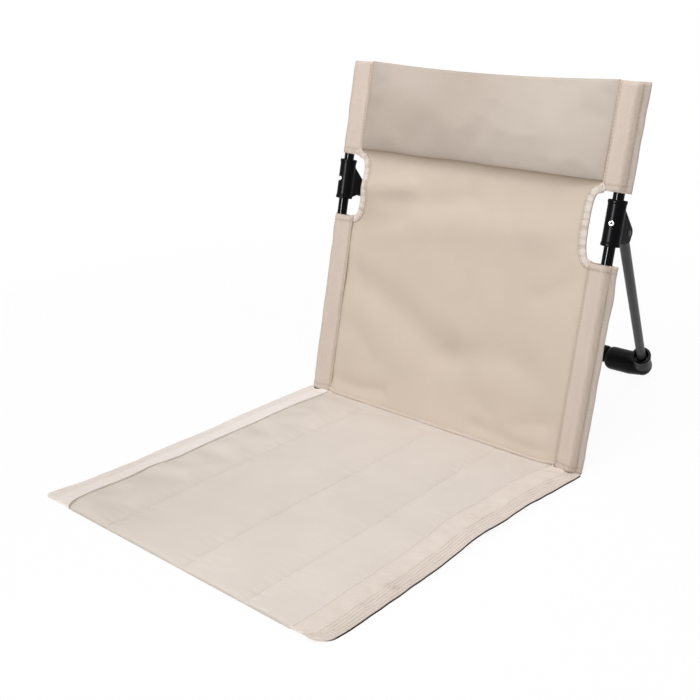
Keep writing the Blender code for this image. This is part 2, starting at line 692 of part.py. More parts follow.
def make_foot(side, sign, stand, pivot, foot, ground_cutter):
    direction = (pivot - foot).normalized()
    name = "foot_" + side
    inward_end = Vector((sign * BARREL_INNER_X, foot.y, foot.z))
    outward = Vector((sign, 0, 0))
    dome_radius = BARREL_DOME_DIAMETER / 2
    dome = [(dome_radius * math.sin(t), BARREL_LENGTH + BARREL_DOME * math.cos(t)) for t in quarter_turn()]
    tip = [(BARREL_RADIUS - BARREL_TIP_INSET * (1 - math.cos(t)), BARREL_TIP * (1 - math.sin(t)))
           for t in quarter_turn()]
    profile = dome + [(BARREL_RADIUS, BARREL_LENGTH - BARREL_TAPER)] + tip + [(0, 0)]
    barrel = add_part(name, profile_mesh(name, profile), stand, "black_plastic", along(inward_end, outward))
    turn(barrel)

    socket_line = along(foot, direction)
    cup = add_cutter(name + "_cup", rod_mesh("cup", CUP_DIAMETER / 2, CUP_START, CUP_LENGTH), stand,
                     socket_line)
    combine(barrel, cup, "UNION")
    mouth = add_cutter(name + "_mouth", rod_mesh("mouth", CUP_MOUTH_DIAMETER / 2, CUP_LENGTH - CUP_MOUTH_DEPTH,
                                                 CUP_LENGTH + CUTTER_REACH), stand, socket_line)
    combine(barrel, mouth, "DIFFERENCE")
    socket = add_cutter(name + "_socket", rod_mesh("socket", TUBE_RADIUS + GAP, LEG_END - GAP,
                                                   CUP_LENGTH + CUTTER_REACH), stand, socket_line)
    combine(barrel, socket, "DIFFERENCE")
    bar_end = inward_end + Vector((0, 0, CROSSBAR_RISE))
    bar_hole = add_cutter(name + "_bar_hole", rod_mesh("bar_hole", TUBE_RADIUS + GAP, -CUTTER_REACH,
                                                       CROSSBAR_DEPTH + GAP), stand, along(bar_end, outward))
    combine(barrel, bar_hole, "DIFFERENCE")
    combine(barrel, ground_cutter, "DIFFERENCE")

    outer = COLLAR_DIAMETER / 2
    bore = TUBE_RADIUS + GAP
    near = -GAP
    far = near - COLLAR_WIDTH
    ring = [(bore, near), (outer - COLLAR_ROUND, near), (outer, near - COLLAR_ROUND),
            (outer, far + COLLAR_ROUND), (outer - COLLAR_ROUND, far), (bore, far)]
    collar = add_part("crossbar_collar_" + side, profile_mesh("collar", ring, closed=True), stand,
                      "black_plastic", along(bar_end, outward))
    turn(collar)


def make_crossbar(stand, foot_y, foot_z):
    half = BARREL_INNER_X + CROSSBAR_DEPTH
    height = foot_z + CROSSBAR_RISE
    add_tube("crossbar", stand, "black_tube", Vector((-half, foot_y, height)), Vector((half, foot_y, height)))


clear_scene()
chair = new_collection("folding_camping_chair")
cutters = new_collection("cutters")
ground = new_empty("chair_ground", None, (0, UPRIGHT_FOOT_Y, 0))
backrest = new_empty("backrest", ground, (0, 0, 0), -BACK_LEAN)
seat_hinge = new_empty("seat_hinge", ground, (0, FOLD_Y, FOLD_Z))
stand_hinge = new_empty("stand_hinge", ground, (0, PIVOT_Y, PIVOT_Z))
below_ground = add_cutter("below_ground", box_mesh("below_ground", (-EDGE_X, CHAIR_FRONT, -CUTTER_REACH),
                                                   (EDGE_X, CHAIR_REAR + CUTTER_REACH, 0)), ground)

make_back_panel(backrest)
make_headrest(backrest)
make_fold_seam(backrest)
make_seat_cover(seat_hinge)
make_seat_foam(seat_hinge)
make_seat_base(seat_hinge)
for side_name, side_sign in SIDE_SIGNS.items():
    upright = make_upright(side_name, side_sign, backrest, below_ground)
    make_sleeve(side_name, side_sign, backrest, upright)
    make_pocket("upper_pocket_" + side_name, side_sign, backrest, UPPER_POCKET_BOTTOM, BACK_HEIGHT,
                BACK_HEIGHT - CLOTH)
    make_pocket("lower_pocket_" + side_name, side_sign, backrest, LOWER_POCKET_BOTTOM, LOWER_POCKET_TOP,
                LOWER_POCKET_TOP + CUTTER_REACH)
    make_binding(side_name, side_sign, backrest)
    make_seat_strip(side_name, side_sign, seat_hinge)
    hinge_point = Vector((side_sign * UPRIGHT_X, 0, 0))
    foot_point = Vector((side_sign * FOOT_X, FOOT_DISTANCE - PIVOT_Y, FOOT_Z - PIVOT_Z))
    make_leg(side_name, stand_hinge, hinge_point, foot_point)
    make_foot(side_name, side_sign, stand_hinge, hinge_point, foot_point, below_ground)
make_crossbar(stand_hinge, FOOT_DISTANCE - PIVOT_Y, FOOT_Z - PIVOT_Z)
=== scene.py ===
# Looks of the folding camping chair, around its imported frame. Metres, +Z up, the chair faces -Y.
import math
import random

import bmesh
import bpy
import numpy as np
from mathutils import Matrix, Vector
from mathutils.bvhtree import BVHTree


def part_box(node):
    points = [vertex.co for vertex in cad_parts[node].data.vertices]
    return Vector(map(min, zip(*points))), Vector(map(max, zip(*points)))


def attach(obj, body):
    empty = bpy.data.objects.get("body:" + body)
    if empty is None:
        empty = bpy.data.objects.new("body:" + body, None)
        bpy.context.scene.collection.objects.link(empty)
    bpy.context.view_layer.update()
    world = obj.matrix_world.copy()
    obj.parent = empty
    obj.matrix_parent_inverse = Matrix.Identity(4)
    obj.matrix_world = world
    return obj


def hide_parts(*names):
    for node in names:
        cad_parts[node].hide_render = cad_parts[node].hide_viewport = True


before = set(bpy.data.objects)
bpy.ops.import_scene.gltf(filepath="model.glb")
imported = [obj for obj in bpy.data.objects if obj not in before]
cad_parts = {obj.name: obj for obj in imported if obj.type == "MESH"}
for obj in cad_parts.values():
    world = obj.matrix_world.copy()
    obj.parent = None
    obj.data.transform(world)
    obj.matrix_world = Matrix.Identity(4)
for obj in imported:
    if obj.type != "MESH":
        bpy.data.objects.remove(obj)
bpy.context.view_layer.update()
print("frame loaded with", len(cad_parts), "nodes")

sides = {"left": -1, "right": 1}


# Places read from the frame

def nodePoints(name):
    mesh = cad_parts[name].data
    flat = np.empty(len(mesh.vertices) * 3, np.float32)
    mesh.vertices.foreach_get("co", flat)
    return flat.reshape(-1, 3).astype(float)


def tubeEnds(name):
    # middles of a straight tube's ends, lowest first, and its outer radius
    points = nodePoints(name)
    line = np.linalg.svd(points - points.mean(0), full_matrices=False)[2][0]
    reach = points @ line
    ends = [points[reach < reach.min() + 0.001].mean(0), points[reach > reach.max() - 0.001].mean(0)]
    ends.sort(key=lambda end: (round(end[2], 4), end[0]))
    unit = (ends[1] - ends[0]) / np.linalg.norm(ends[1] - ends[0])
    offset = points - ends[0]
    radius = np.linalg.norm(offset - np.outer(offset @ unit, unit), axis=1).max()
    return ends[0], ends[1], unit, radius


uprightFoot, _, backUp, tubeRadius = tubeEnds("upright_right")
backUp[0] = 0
backRear = np.array((0, backUp[2], -backUp[1]))
backFoot = uprightFoot - backUp * (uprightFoot[2] / backUp[2])
uprightX = backFoot[0]
backFoot[0] = 0


def toBack(points):
    # across, behind the line of the uprights, and up along it
    offset = np.asarray(points) - backFoot
    return np.stack((offset[..., 0], offset @ backRear, offset @ backUp), -1)


def fromBack(x, rear, up):
    x, rear, up = np.broadcast_arrays(np.asarray(x, float), rear, up)
    places = backFoot + x[..., None] * np.array((1, 0, 0))
    return places + rear[..., None] * backRear + up[..., None] * backUp


def backBox(name):
    points = toBack(nodePoints(name))
    return points.min(0), points.max(0)


# Shader nodes

def setInputs(node, numbers):
    for socket, number in numbers.items():
        node.inputs[socket].default_value = number


def mathNode(tree, operation, first, second):
    node = tree.nodes.new("ShaderNodeMath")
    node.operation = operation
    tree.links.new(first, node.inputs[0])
    tree.links.new(second, node.inputs[1])
    return node.outputs[0]


def noiseNode(tree, place, size, detail, roughness=0.55):
    # grain of about this size in metres
    node = tree.nodes.new("ShaderNodeTexNoise")
    setInputs(node, {"Scale": 1 / size, "Detail": detail, "Roughness": roughness})
    tree.links.new(place, node.inputs["Vector"])
    return node.outputs[0]


def rangeNode(tree, value, low, high, toLow=0, toHigh=1):
    node = tree.nodes.new("ShaderNodeMapRange")
    setInputs(node, {"From Min": low, "From Max": high, "To Min": toLow, "To Max": toHigh})
    tree.links.new(value, node.inputs["Value"])
    return node.outputs[0]


def mixColours(tree, share, first, second):
    node = tree.nodes.new("ShaderNodeMix")
    node.data_type = "RGBA"
    tree.links.new(share, node.inputs["Factor"])
    for socket, colour in ((node.inputs[6], first), (node.inputs[7], second)):
        if isinstance(colour, tuple):
            socket.default_value = (*colour, 1)
        else:
            tree.links.new(colour, socket)
    return node.outputs[2]


def mixShaders(tree, share, first, second, output):
    mix = tree.nodes.new("ShaderNodeMixShader")
    for socket, source in zip(mix.inputs, (share, first, second)):
        tree.links.new(source, socket)
    tree.links.new(mix.outputs[0], tree.nodes.new(output).inputs["Surface"])


def addRelief(tree, shader, height, strength, depth):
    bump = tree.nodes.new("ShaderNodeBump")
    setInputs(bump, {"Strength": strength, "Distance": depth})
    tree.links.new(height, bump.inputs["Height"])
    tree.links.new(bump.outputs[0], shader.inputs["Normal"])


def scaled(colour, factor):
    return tuple(channel * factor for channel in colour)


# Camera, light and floor

cameraView = {
    "place": (0.784, -1.010, 0.572),  # from the middle of the uprights' foot line
    "yaw": -42.49,  # degrees
    "pitch": -20.08,
    "roll": -0.76,
    "focalPixels": 1096.93,
    "framePixels": 700,
    "sensor": 36,  # mm
}


def makeCamera():
    yaw, pitch, roll = (math.radians(cameraView[turn]) for turn in ("yaw", "pitch", "roll"))
    level = math.cos(pitch)
    forward = Vector((math.sin(yaw) * level, math.cos(yaw) * level, math.sin(pitch)))
    flatRight = Vector((math.cos(yaw), -math.sin(yaw), 0))
    flatUp = flatRight.cross(forward)
    right = flatRight * math.cos(roll) + flatUp * math.sin(roll)
    up = flatUp * math.cos(roll) - flatRight * math.sin(roll)
    lens = bpy.data.cameras.new("photoCamera")
    lens.sensor_width = cameraView["sensor"]
    lens.lens = cameraView["sensor"] * cameraView["focalPixels"] / cameraView["framePixels"]
    camera = bpy.data.objects.new("photoCamera", lens)
    turn = Matrix((right, up, -forward)).transposed().to_4x4()
    camera.matrix_world = Matrix.Translation(Vector(backFoot) + Vector(cameraView["place"])) @ turn
    bpy.context.collection.objects.link(camera)
    bpy.context.scene.camera = camera


studioLights = {
    "keyPanel": {"place": (-0.95, -1.45, 1.55), "aim": (0, -0.05, 0.15), "size": (0.9, 0.9), "power": 13},
    "topPanel": {"place": (0.45, -0.40, 2.25), "aim": (0, -0.05, 0), "size": (0.8, 0.8), "power": 34},
    "frontPanel": {"place": (-0.10, -2.3, 0.42), "aim": (0, 0.1, 0.3), "size": (0.9, 0.45), "power": 11},
    "rearPanel": {"place": (0.75, 2.0, 1.25), "aim": (0, 0.1, 0.2), "size": (1.0, 1.0), "power": 9,
                  "glossy": False},
    "streakCard": {"place": (-0.12, -2.3, 0.42), "aim": (0, 0.1, 0.3), "size": (0.4, 0.8), "power": 140,
                   "diffuse": False},  # only a shine on the tubes
}
studioWorld = {
    "level": 0.16,
    "floorAlbedo": 0.885,
    "floorClear": 0.94,
    "floorReach": 30,
    "floorDrop": 0.0002,
    "shadowNear": 0.55,
    "shadowFar": 1.1,  # the floor is all white past this far from the chair
}


def lightPathChoice(tree):
    # 1 for rays that should meet the white backdrop itself
    path = tree.nodes.new("ShaderNodeLightPath")
    seen = path.outputs["Is Camera Ray"]
    for ray in ("Is Glossy Ray", "Is Transmission Ray"):
        seen = mathNode(tree, "MAXIMUM", seen, path.outputs[ray])
    return seen


def makeStudio():
    for name, light in studioLights.items():
        lamp = bpy.data.lights.new(name, "AREA")
        lamp.shape = "RECTANGLE"
        lamp.size, lamp.size_y = light["size"]
        lamp.energy = light["power"]
        holder = bpy.data.objects.new(name, lamp)
        holder.visible_diffuse = light.get("diffuse", True)
        holder.visible_glossy = light.get("glossy", True)
        aim = Vector(light["aim"]) - Vector(light["place"])
        turn = aim.to_track_quat("-Z", "Y").to_matrix().to_4x4()
        holder.matrix_world = Matrix.Translation(light["place"]) @ turn
        bpy.context.collection.objects.link(holder)

    world = bpy.data.worlds.new("studioWorld")
    bpy.context.scene.world = world
    world.use_nodes = True
    tree = world.node_tree
    tree.nodes.clear()
    lit, shown = (tree.nodes.new("ShaderNodeBackground") for level in range(2))
    setInputs(lit, {"Color": (1, 1, 1, 1), "Strength": studioWorld["level"]})
    setInputs(shown, {"Color": (1, 1, 1, 1), "Strength": 1})
    mixShaders(tree, lightPathChoice(tree), lit.outputs[0], shown.outputs[0], "ShaderNodeOutputWorld")

    reach, drop = studioWorld["floorReach"], studioWorld["floorDrop"]
    corners = [(x * reach, y * reach, -drop) for x, y in ((-1, -1), (1, -1), (1, 1), (-1, 1))]
    mesh = bpy.data.meshes.new("studioFloor")
    mesh.from_pydata(corners, [], [(0, 1, 2, 3)])
    floor = bpy.data.objects.new("studioFloor", mesh)
    bpy.context.collection.objects.link(floor)
    material = bpy.data.materials.new("studioFloor")
    material.use_nodes = True
    tree = material.node_tree
    tree.nodes.clear()
    matt, clear, far = (tree.nodes.new(kind) for kind in (
        "ShaderNodeBsdfDiffuse", "ShaderNodeBsdfTransparent", "ShaderNodeVectorMath"))
    setInputs(matt, {"Color": (*[studioWorld["floorAlbedo"]] * 3, 1)})
    far.operation = "LENGTH"
    tree.links.new(tree.nodes.new("ShaderNodeTexCoord").outputs["Object"], far.inputs[0])
    whiter = rangeNode(tree, far.outputs["Value"], studioWorld["shadowNear"], studioWorld["shadowFar"],
                       studioWorld["floorClear"], 1)
    share = mathNode(tree, "MULTIPLY", lightPathChoice(tree), whiter)
    # where it is clear, the white world shows, or what a pose puts below the floor
    mixShaders(tree, share, matt.outputs[0], clear.outputs[0], "ShaderNodeOutputMaterial")
    mesh.materials.append(material)
    bpy.context.scene.view_settings.view_transform = "Standard"


makeCamera()
makeStudio()
print("camera, lights and floor are set")


# Finishes

def startFinish(name):
    material = bpy.data.materials.new(name)
    material.use_nodes = True
    tree = material.node_tree
    return material, tree, tree.nodes["Principled BSDF"]


plainWeave = {"thread": 0.00085, "twill": False, "relief": 0.30, "sheen": 0.12, "specular": 0.25}
twillWeave = {"thread": 0.0007, "twill": True, "relief": 0.22, "sheen": 0.12, "specular": 0.25}
coatedWeave = {"thread": 0.0008, "twill": False, "relief": 0.25, "sheen": 0.0, "specular": 0.06}
# seatCloth, backCloth and headrestCloth are one cloth: the seat is painted lighter as top-lit, the back and
# headrest darker as painted shade; leftStripCloth is the right strip's cloth painted lighter, as lit
clothLooks = {
    "seatCloth": {"colour": (0.70, 0.63, 0.57), **plainWeave},
    "backCloth": {"colour": (0.600, 0.505, 0.415), **plainWeave},
    "headrestCloth": {"colour": (0.535, 0.462, 0.400), **plainWeave},
    "edgeCloth": {"colour": (0.605, 0.508, 0.437), **twillWeave},
    "tapeCloth": {"colour": (0.72, 0.635, 0.565), **twillWeave},
    "leftStripCloth": {"colour": (0.86, 0.795, 0.755), **twillWeave},
    "rightStripCloth": {"colour": (0.72, 0.635, 0.57), **twillWeave},
    "underCloth": {"colour": (0.046, 0.026, 0.015), **coatedWeave},
}
clothGrainAndShade = {
    "distortion": 0.6,  # of the threads
    "detailScale": 0.4,
    "broad": 0.07,  # size in metres of the soft patches
    "broadShade": 0.955,
    "slub": 0.0042,
    "slubShade": 0.965,
    "slubStretch": (0.35, 1.6, 1),
    # painted shade: the cloth darkens and warms toward this tint where seamShade is high, for seams, creases,
    # shadows under overhangs and sides turned from the lamps, and for random mottling
    "seamAndPaintedShadeTint": (0.64, 0.585, 0.52),  # warm shade along the seams
    "roughness": 0.88,
    "sheenRoughness": 0.45,
    "bumpDepth": 0.00025,
}


def makeCloth(name):
    look = clothLooks[name]
    material, tree, shader = startFinish(name)
    mapNode = tree.nodes.new("ShaderNodeUVMap")
    mapNode.uv_map = "clothMap"
    place = mapNode.outputs[0]
    waves = []
    for direction in (("DIAGONAL", "Y") if look["twill"] else ("X", "Y")):
        wave = tree.nodes.new("ShaderNodeTexWave")
        wave.bands_direction = direction
        turnsPerMetre = 10 if direction == "DIAGONAL" else 20
        setInputs(wave, {"Scale": math.tau / (turnsPerMetre * look["thread"]),
                         "Distortion": clothGrainAndShade["distortion"], "Detail Scale": clothGrainAndShade["detailScale"]})
        tree.links.new(place, wave.inputs["Vector"])
        waves.append(wave.outputs["Fac"])
    weave = mathNode(tree, "MULTIPLY" if look["twill"] else "MAXIMUM", *waves)

    broad = noiseNode(tree, place, clothGrainAndShade["broad"], 2.0)
    stretch = tree.nodes.new("ShaderNodeMapping")  # slubs run along the threads
    setInputs(stretch, {"Scale": clothGrainAndShade["slubStretch"]})
    tree.links.new(place, stretch.inputs["Vector"])
    slub = noiseNode(tree, stretch.outputs[0], clothGrainAndShade["slub"], 4.0, 0.65)
    base = look["colour"]
    patchy = mixColours(tree, rangeNode(tree, broad, 0.35, 0.65), base, scaled(base, clothGrainAndShade["broadShade"]))
    slubShare = rangeNode(tree, slub, 0.42, 0.72, 0, 0.8)
    threads = mixColours(tree, slubShare, patchy, scaled(base, clothGrainAndShade["slubShade"]))
    # the seamShade attribute mixes in painted shade and shadows, dark seam lines and random mottling
    wearAndPaintedShade = tree.nodes.new("ShaderNodeAttribute")
    wearAndPaintedShade.attribute_name = "seamShade"
    shaded = tuple(channel * tint for channel, tint in zip(base, clothGrainAndShade["seamAndPaintedShadeTint"]))
    tree.links.new(mixColours(tree, wearAndPaintedShade.outputs["Fac"], threads, shaded), shader.inputs["Base Color"])
    setInputs(shader, {"Specular IOR Level": look["specular"], "Sheen Weight": look["sheen"],
                       "Sheen Roughness": clothGrainAndShade["sheenRoughness"]})
    rough = clothGrainAndShade["roughness"]
    tree.links.new(rangeNode(tree, slub, 0.3, 0.7, rough - 0.06, rough + 0.07), shader.inputs["Roughness"])
    addRelief(tree, shader, mathNode(tree, "ADD", weave, slub), look["relief"], clothGrainAndShade["bumpDepth"])
    return material


hardLooks = {
    "glossBlack": {"colour": (0.0020, 0.0020, 0.0024), "rough": 0.07, "specular": 0.065, "relief": 0.006},
    "satinGrey": {"colour": (0.050, 0.050, 0.054), "rough": 0.34, "specular": 0.10, "relief": 0.03},
    "mouldedBlack": {"colour": (0.0036, 0.0036, 0.0044), "rough": 0.30, "specular": 0.035, "relief": 0.05},
    "footBlack": {"colour": (0.0042, 0.0042, 0.0048), "rough": 0.36, "specular": 0.085, "relief": 0.03},
    "brightSteel": {"colour": (0.72, 0.72, 0.72), "rough": 0.30, "specular": 0.5, "metal": 1, "relief": 0.03},
    "darkSteel": {"colour": (0.05, 0.05, 0.052), "rough": 0.40, "specular": 0.4, "metal": 1, "relief": 0.03},
}
hardWear = {"grain": 0.0007, "cloud": 0.016, "scuff": 0.0028, "scuffLift": 2.6, "metalLift": 1.1,
            "bumpDepth": 0.0002}


def makeHard(name):
    look = hardLooks[name]
    metal = look.get("metal", 0)
    material, tree, shader = startFinish(name)
    place = tree.nodes.new("ShaderNodeTexCoord").outputs["Object"]
    grain = noiseNode(tree, place, hardWear["grain"], 2.0)
    cloud = noiseNode(tree, place, hardWear["cloud"], 3.0)
    scuff = noiseNode(tree, place, hardWear["scuff"], 5.0, 0.7)
    lighter = scaled(look["colour"], hardWear["metalLift" if metal else "scuffLift"])
    wearAndPaintedShade = mixColours(tree, rangeNode(tree, scuff, 0.60, 0.78, 0, 0.5), look["colour"], lighter)
    tree.links.new(wearAndPaintedShade, shader.inputs["Base Color"])
    clouded = rangeNode(tree, cloud, 0.3, 0.7, 0.8 * look["rough"], 1.2 * look["rough"])
    rough = mathNode(tree, "ADD", clouded, rangeNode(tree, scuff, 0.58, 0.8, 0, 0.15))
    tree.links.new(rough, shader.inputs["Roughness"])
    setInputs(shader, {"Metallic": metal, "Specular IOR Level": look["specular"]})
    addRelief(tree, shader, grain, look["relief"], hardWear["bumpDepth"])
    return material


threadLooks = {
    "sewingThread": {"colour": (0.40, 0.32, 0.26), "dark": (0.28, 0.22, 0.18)},
    # dark thread on the left seam only, painted shade for the gap between the strip and the pad
    "shadowedSeamThread": {"colour": (0.20, 0.145, 0.11), "dark": (0.14, 0.10, 0.078)},
    "paleThread": {"colour": (0.74, 0.67, 0.61), "dark": (0.58, 0.51, 0.45)},
}
threadWear = {"twist": 0.0012, "rough": 0.8, "specular": 0.2}


def makeThread(name):
    look = threadLooks[name]
    material, tree, shader = startFinish(name)
    place = tree.nodes.new("ShaderNodeTexCoord").outputs["Object"]
    twist = noiseNode(tree, place, threadWear["twist"], 2.0)
    colour = mixColours(tree, rangeNode(tree, twist, 0.35, 0.65), look["colour"], look["dark"])
    tree.links.new(colour, shader.inputs["Base Color"])
    setInputs(shader, {"Roughness": threadWear["rough"], "Specular IOR Level": threadWear["specular"]})
    return material


finishes = {name: makeCloth(name) for name in clothLooks}
finishes.update({name: makeHard(name) for name in hardLooks})
finishes.update({name: makeThread(name) for name in threadLooks})
print("finishes are made:", ", ".join(finishes))


# Shapes: points with faces, joined and turned into pieces

def gridFaces(rows, columns, wrap=False, start=0):
    faces = []
    for row in range(rows - 1):
        for column in range(columns if wrap else columns - 1):
            near = start + row * columns
            far = near + columns
            after = (column + 1) % columns
            faces.append((near + column, near + after, far + after, far + column))
    return faces


def joinShapes(shapes):
    points, faces, start = [], [], 0
    for shapePoints, shapeFaces in shapes:
        points.append(np.asarray(shapePoints, float))
        faces += [tuple(corner + start for corner in face) for face in shapeFaces]
        start += len(shapePoints)
    return np.concatenate(points), faces


def sheetShape(front, rear):
    # closed cloth from its two faces, which share one grid
    rows, columns = front.shape[:2]
    count = rows * columns
    faces = gridFaces(rows, columns)
    faces += [tuple(reversed(face)) for face in gridFaces(rows, columns, start=count)]
    rim = list(range(columns))
    rim += [row * columns + columns - 1 for row in range(1, rows)]
    rim += [(rows - 1) * columns + column for column in range(columns - 2, -1, -1)]
    rim += [row * columns for row in range(rows - 2, 0, -1)]
    for here, after in zip(rim, rim[1:] + rim[:1]):
        faces.append((here, here + count, after + count, after))
    return np.concatenate((front.reshape(-1, 3), rear.reshape(-1, 3))), faces


def loftShape(rings):
    # rings of equal count, with a fan at each end
    rings = np.asarray(rings, float)
    rows, columns = rings.shape[:2]
    points = np.concatenate((rings.reshape(-1, 3), rings[0].mean(0)[None], rings[-1].mean(0)[None]))
    faces = gridFaces(rows, columns, wrap=True)
    first, last, end = rows * columns, rows * columns + 1, (rows - 1) * columns
    for column in range(columns):
        after = (column + 1) % columns
        faces.append((first, after, column))
        faces.append((last, end + column, end + after))
    return points, faces


def turnedRings(profile, start, direction, steps):
    # a ring for each (radius, along) of a profile
    unit = Vector(direction).normalized()
    side = unit.orthogonal().normalized()
    turn = np.linspace(0, math.tau, steps, endpoint=False)[:, None]
    circle = np.cos(turn) * np.array(side) + np.sin(turn) * np.array(unit.cross(side))
    unit = np.array(unit)
    return np.array([start + unit * along + circle * max(radius, 1e-6) for radius, along in profile])


def turnedShape(profile, start, direction, steps=72):
    # profile from one end to the other, closed by fans
    return loftShape(turnedRings(profile, start, direction, steps))


def hoopShape(profile, start, direction, steps=72):
    # profile that closes on itself round an open middle
    rings = turnedRings(profile, start, direction, steps)
    faces = gridFaces(len(rings), steps, wrap=True)
    last = (len(rings) - 1) * steps
    faces += [(last + step, last + (step + 1) % steps, (step + 1) % steps, step) for step in range(steps)]
    return rings.reshape(-1, 3), faces


quarter = math.pi / 2


def arc(middle, size, start, end, count):
    # places on part of an ellipse, angles from the first axis
    return [(middle[0] + size[0] * math.cos(turn), middle[1] + size[1] * math.sin(turn))
            for turn in np.linspace(start, end, count)]


def plateShape(outline, low, high):
    # flat plate: outline points in space at two places along X
    rings = np.array((outline, outline), float)
    rings[0, :, 0] = low
    rings[1, :, 0] = high
    return loftShape(rings)


def hullOutline(points):
    # outer ring of (a, b) points
    points = sorted(set(map(tuple, points)))

    def half(sequence):
        chain = []
        for point in sequence:
            while len(chain) > 1:
                (ax, ay), (bx, by) = chain[-2], chain[-1]
                if (bx - ax) * (point[1] - ay) - (by - ay) * (point[0] - ax) > 0:
                    break
                chain.pop()
            chain.append(point)
        return chain[:-1]

    return half(points) + half(points[::-1])


def makePiece(name, shape, finish, cloth=None, seam=None, sharp=None):
    points, faces = shape
    mesh = bpy.data.meshes.new(name)
    mesh.from_pydata(points.tolist(), [], faces)
    tidy = bmesh.new()
    tidy.from_mesh(mesh)
    bmesh.ops.recalc_face_normals(tidy, faces=tidy.faces)
    tidy.to_mesh(mesh)
    tidy.free()
    mesh.shade_smooth()
    if sharp:
        mesh.set_sharp_from_angle(angle=math.radians(sharp))
    if cloth is not None:
        corners = np.empty(len(mesh.loops), np.int32)
        mesh.loops.foreach_get("vertex_index", corners)
        layer = mesh.uv_layers.new(name="clothMap")
        layer.uv.foreach_set("vector", cloth[corners].astype(np.float32).ravel())
    if seam is not None:
        shade = mesh.attributes.new("seamShade", "FLOAT", "POINT")
        shade.data.foreach_set("value", np.clip(seam, 0, 1).astype(np.float32))
    mesh.materials.append(finishes[finish])
    piece = bpy.data.objects.new(name, mesh)
    bpy.context.collection.objects.link(piece)
    return piece


def flatGrid(across, along):
    # places on the flat cloth, one for each point of a grid
    return np.stack(np.broadcast_arrays(across, along), -1).reshape(-1, 2)


def makeSheet(name, front, rear, finish, across, along, seam=None):
    # cloth with two faces on one grid
    shade = None if seam is None else np.tile(seam.reshape(-1), 2)
    return makePiece(name, sheetShape(front, rear), finish, np.tile(flatGrid(across, along), (2, 1)), shade)


def seat(piece, body, slot, *nodes):
    # what the piece rides on and the frame nodes it stands for, which are hidden; slot is not used
    if nodes:
        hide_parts(*nodes)
    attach(piece, body)
    return piece


def keepShape(piece):
    # applies the piece's modifiers
    seen = bpy.context.evaluated_depsgraph_get()
    mesh = bpy.data.meshes.new_from_object(piece.evaluated_get(seen))
    piece.modifiers.clear()
    piece.data = mesh


def makeMoulded(name, shape, finish, voxel, rounds, cuts=()):
    # overlapping solids melted into one moulding with rounded edges, then bored
    piece = makePiece(name, shape, finish)
    melt = piece.modifiers.new("melt", "REMESH")
    melt.mode = "VOXEL"
    melt.voxel_size = voxel
    melt.use_smooth_shade = True
    soften = piece.modifiers.new("soften", "SMOOTH")
    soften.factor = 0.5
    soften.iterations = rounds
    keepShape(piece)
    for number, cut in enumerate(cuts):
        cutter = makePiece(name + "Cutter" + str(number), cut, finish)
        bore = piece.modifiers.new("bore", "BOOLEAN")
        bore.operation = "DIFFERENCE"
        bore.solver = "EXACT"
        bore.object = cutter
        keepShape(piece)
        bpy.data.objects.remove(cutter)
    piece.data.shade_smooth()
    piece.data.set_sharp_from_angle(angle=math.radians(50))
    return piece


def smoothStep(low, high, value):
    share = np.clip((value - low) / (high - low), 0, 1)
    return share * share * (3 - 2 * share)


def bell(distance, width):
    return np.exp(-(distance / width) ** 2)


def fade(distance, width):
    return np.exp(-distance / width)


def shadeLine(look, name, distance, curve):
    # darker cloth along a line, of a named strength and width
    strength, width = look["shade"][name]
    return strength * curve(distance, width)


def roundOff(distance, radius, least=0):
    # share of the full thickness this far inside a rounded edge
    return np.sqrt(np.clip(1 - (1 - np.clip(distance / radius, least, 1)) ** 2, 0, 1))


def alongPath(path):
    # length of a line up to each of its points
    return np.concatenate(([0], np.cumsum(np.linalg.norm(np.diff(path, axis=0), axis=1))))


def rumple(a, b, size, seed, waves=8):
    # soft seeded waves of about this size, near -1 to 1
    draw = random.Random(seed)
    total = 0
    for wave in range(waves):
        turn = draw.uniform(0, math.tau)
        pace = math.tau * draw.uniform(0.6, 1.5) / size
        total = total + np.sin(pace * (a * math.cos(turn) + b * math.sin(turn)) + draw.uniform(0, math.tau))
    return total / math.sqrt(2 * waves)


def lineDistance(a, b, path):
    # distance of (a, b) points from a broken line
    nearest = np.full(np.broadcast(a, b).shape, 1e3)
    for (a0, b0), (a1, b1) in zip(path, path[1:]):
        run = (a1 - a0) ** 2 + (b1 - b0) ** 2
        share = np.clip(((a - a0) * (a1 - a0) + (b - b0) * (b1 - b0)) / run, 0, 1)
        nearest = np.minimum(nearest, np.hypot(a - a0 - share * (a1 - a0), b - b0 - share * (b1 - b0)))
    return nearest


def folds(a, b, lines):
    # depth of soft folds along broken lines, below zero for ridges
    depth = 0
    for line in lines:
        depth = depth + line["depth"] * bell(lineDistance(a, b, line["path"]), line["width"])
    return depth


def spread(values, rows, columns):
    # a grid of values at another count of rows and columns, on smooth curves
    for count in (rows, columns):
        place = np.linspace(0, len(values) - 1, count)
        start = np.clip(place.astype(int), 0, len(values) - 2)
        part = (place - start)[:, None, None]
        a, b, c, d = (values[np.clip(start + step, 0, len(values) - 1)] for step in (-1, 0, 1, 2))
        values = b + part / 2 * (c - a + part * (2 * a - 5 * b + 4 * c - d + part * (3 * b - 3 * c + d - a)))
        values = values.transpose(1, 0, 2)
    return values


padSewing = {"frames": 20, "quality": 6, "mass": 0.2, "stiffness": 15, "bending": 30, "damping": 2,
             "soften": 3}


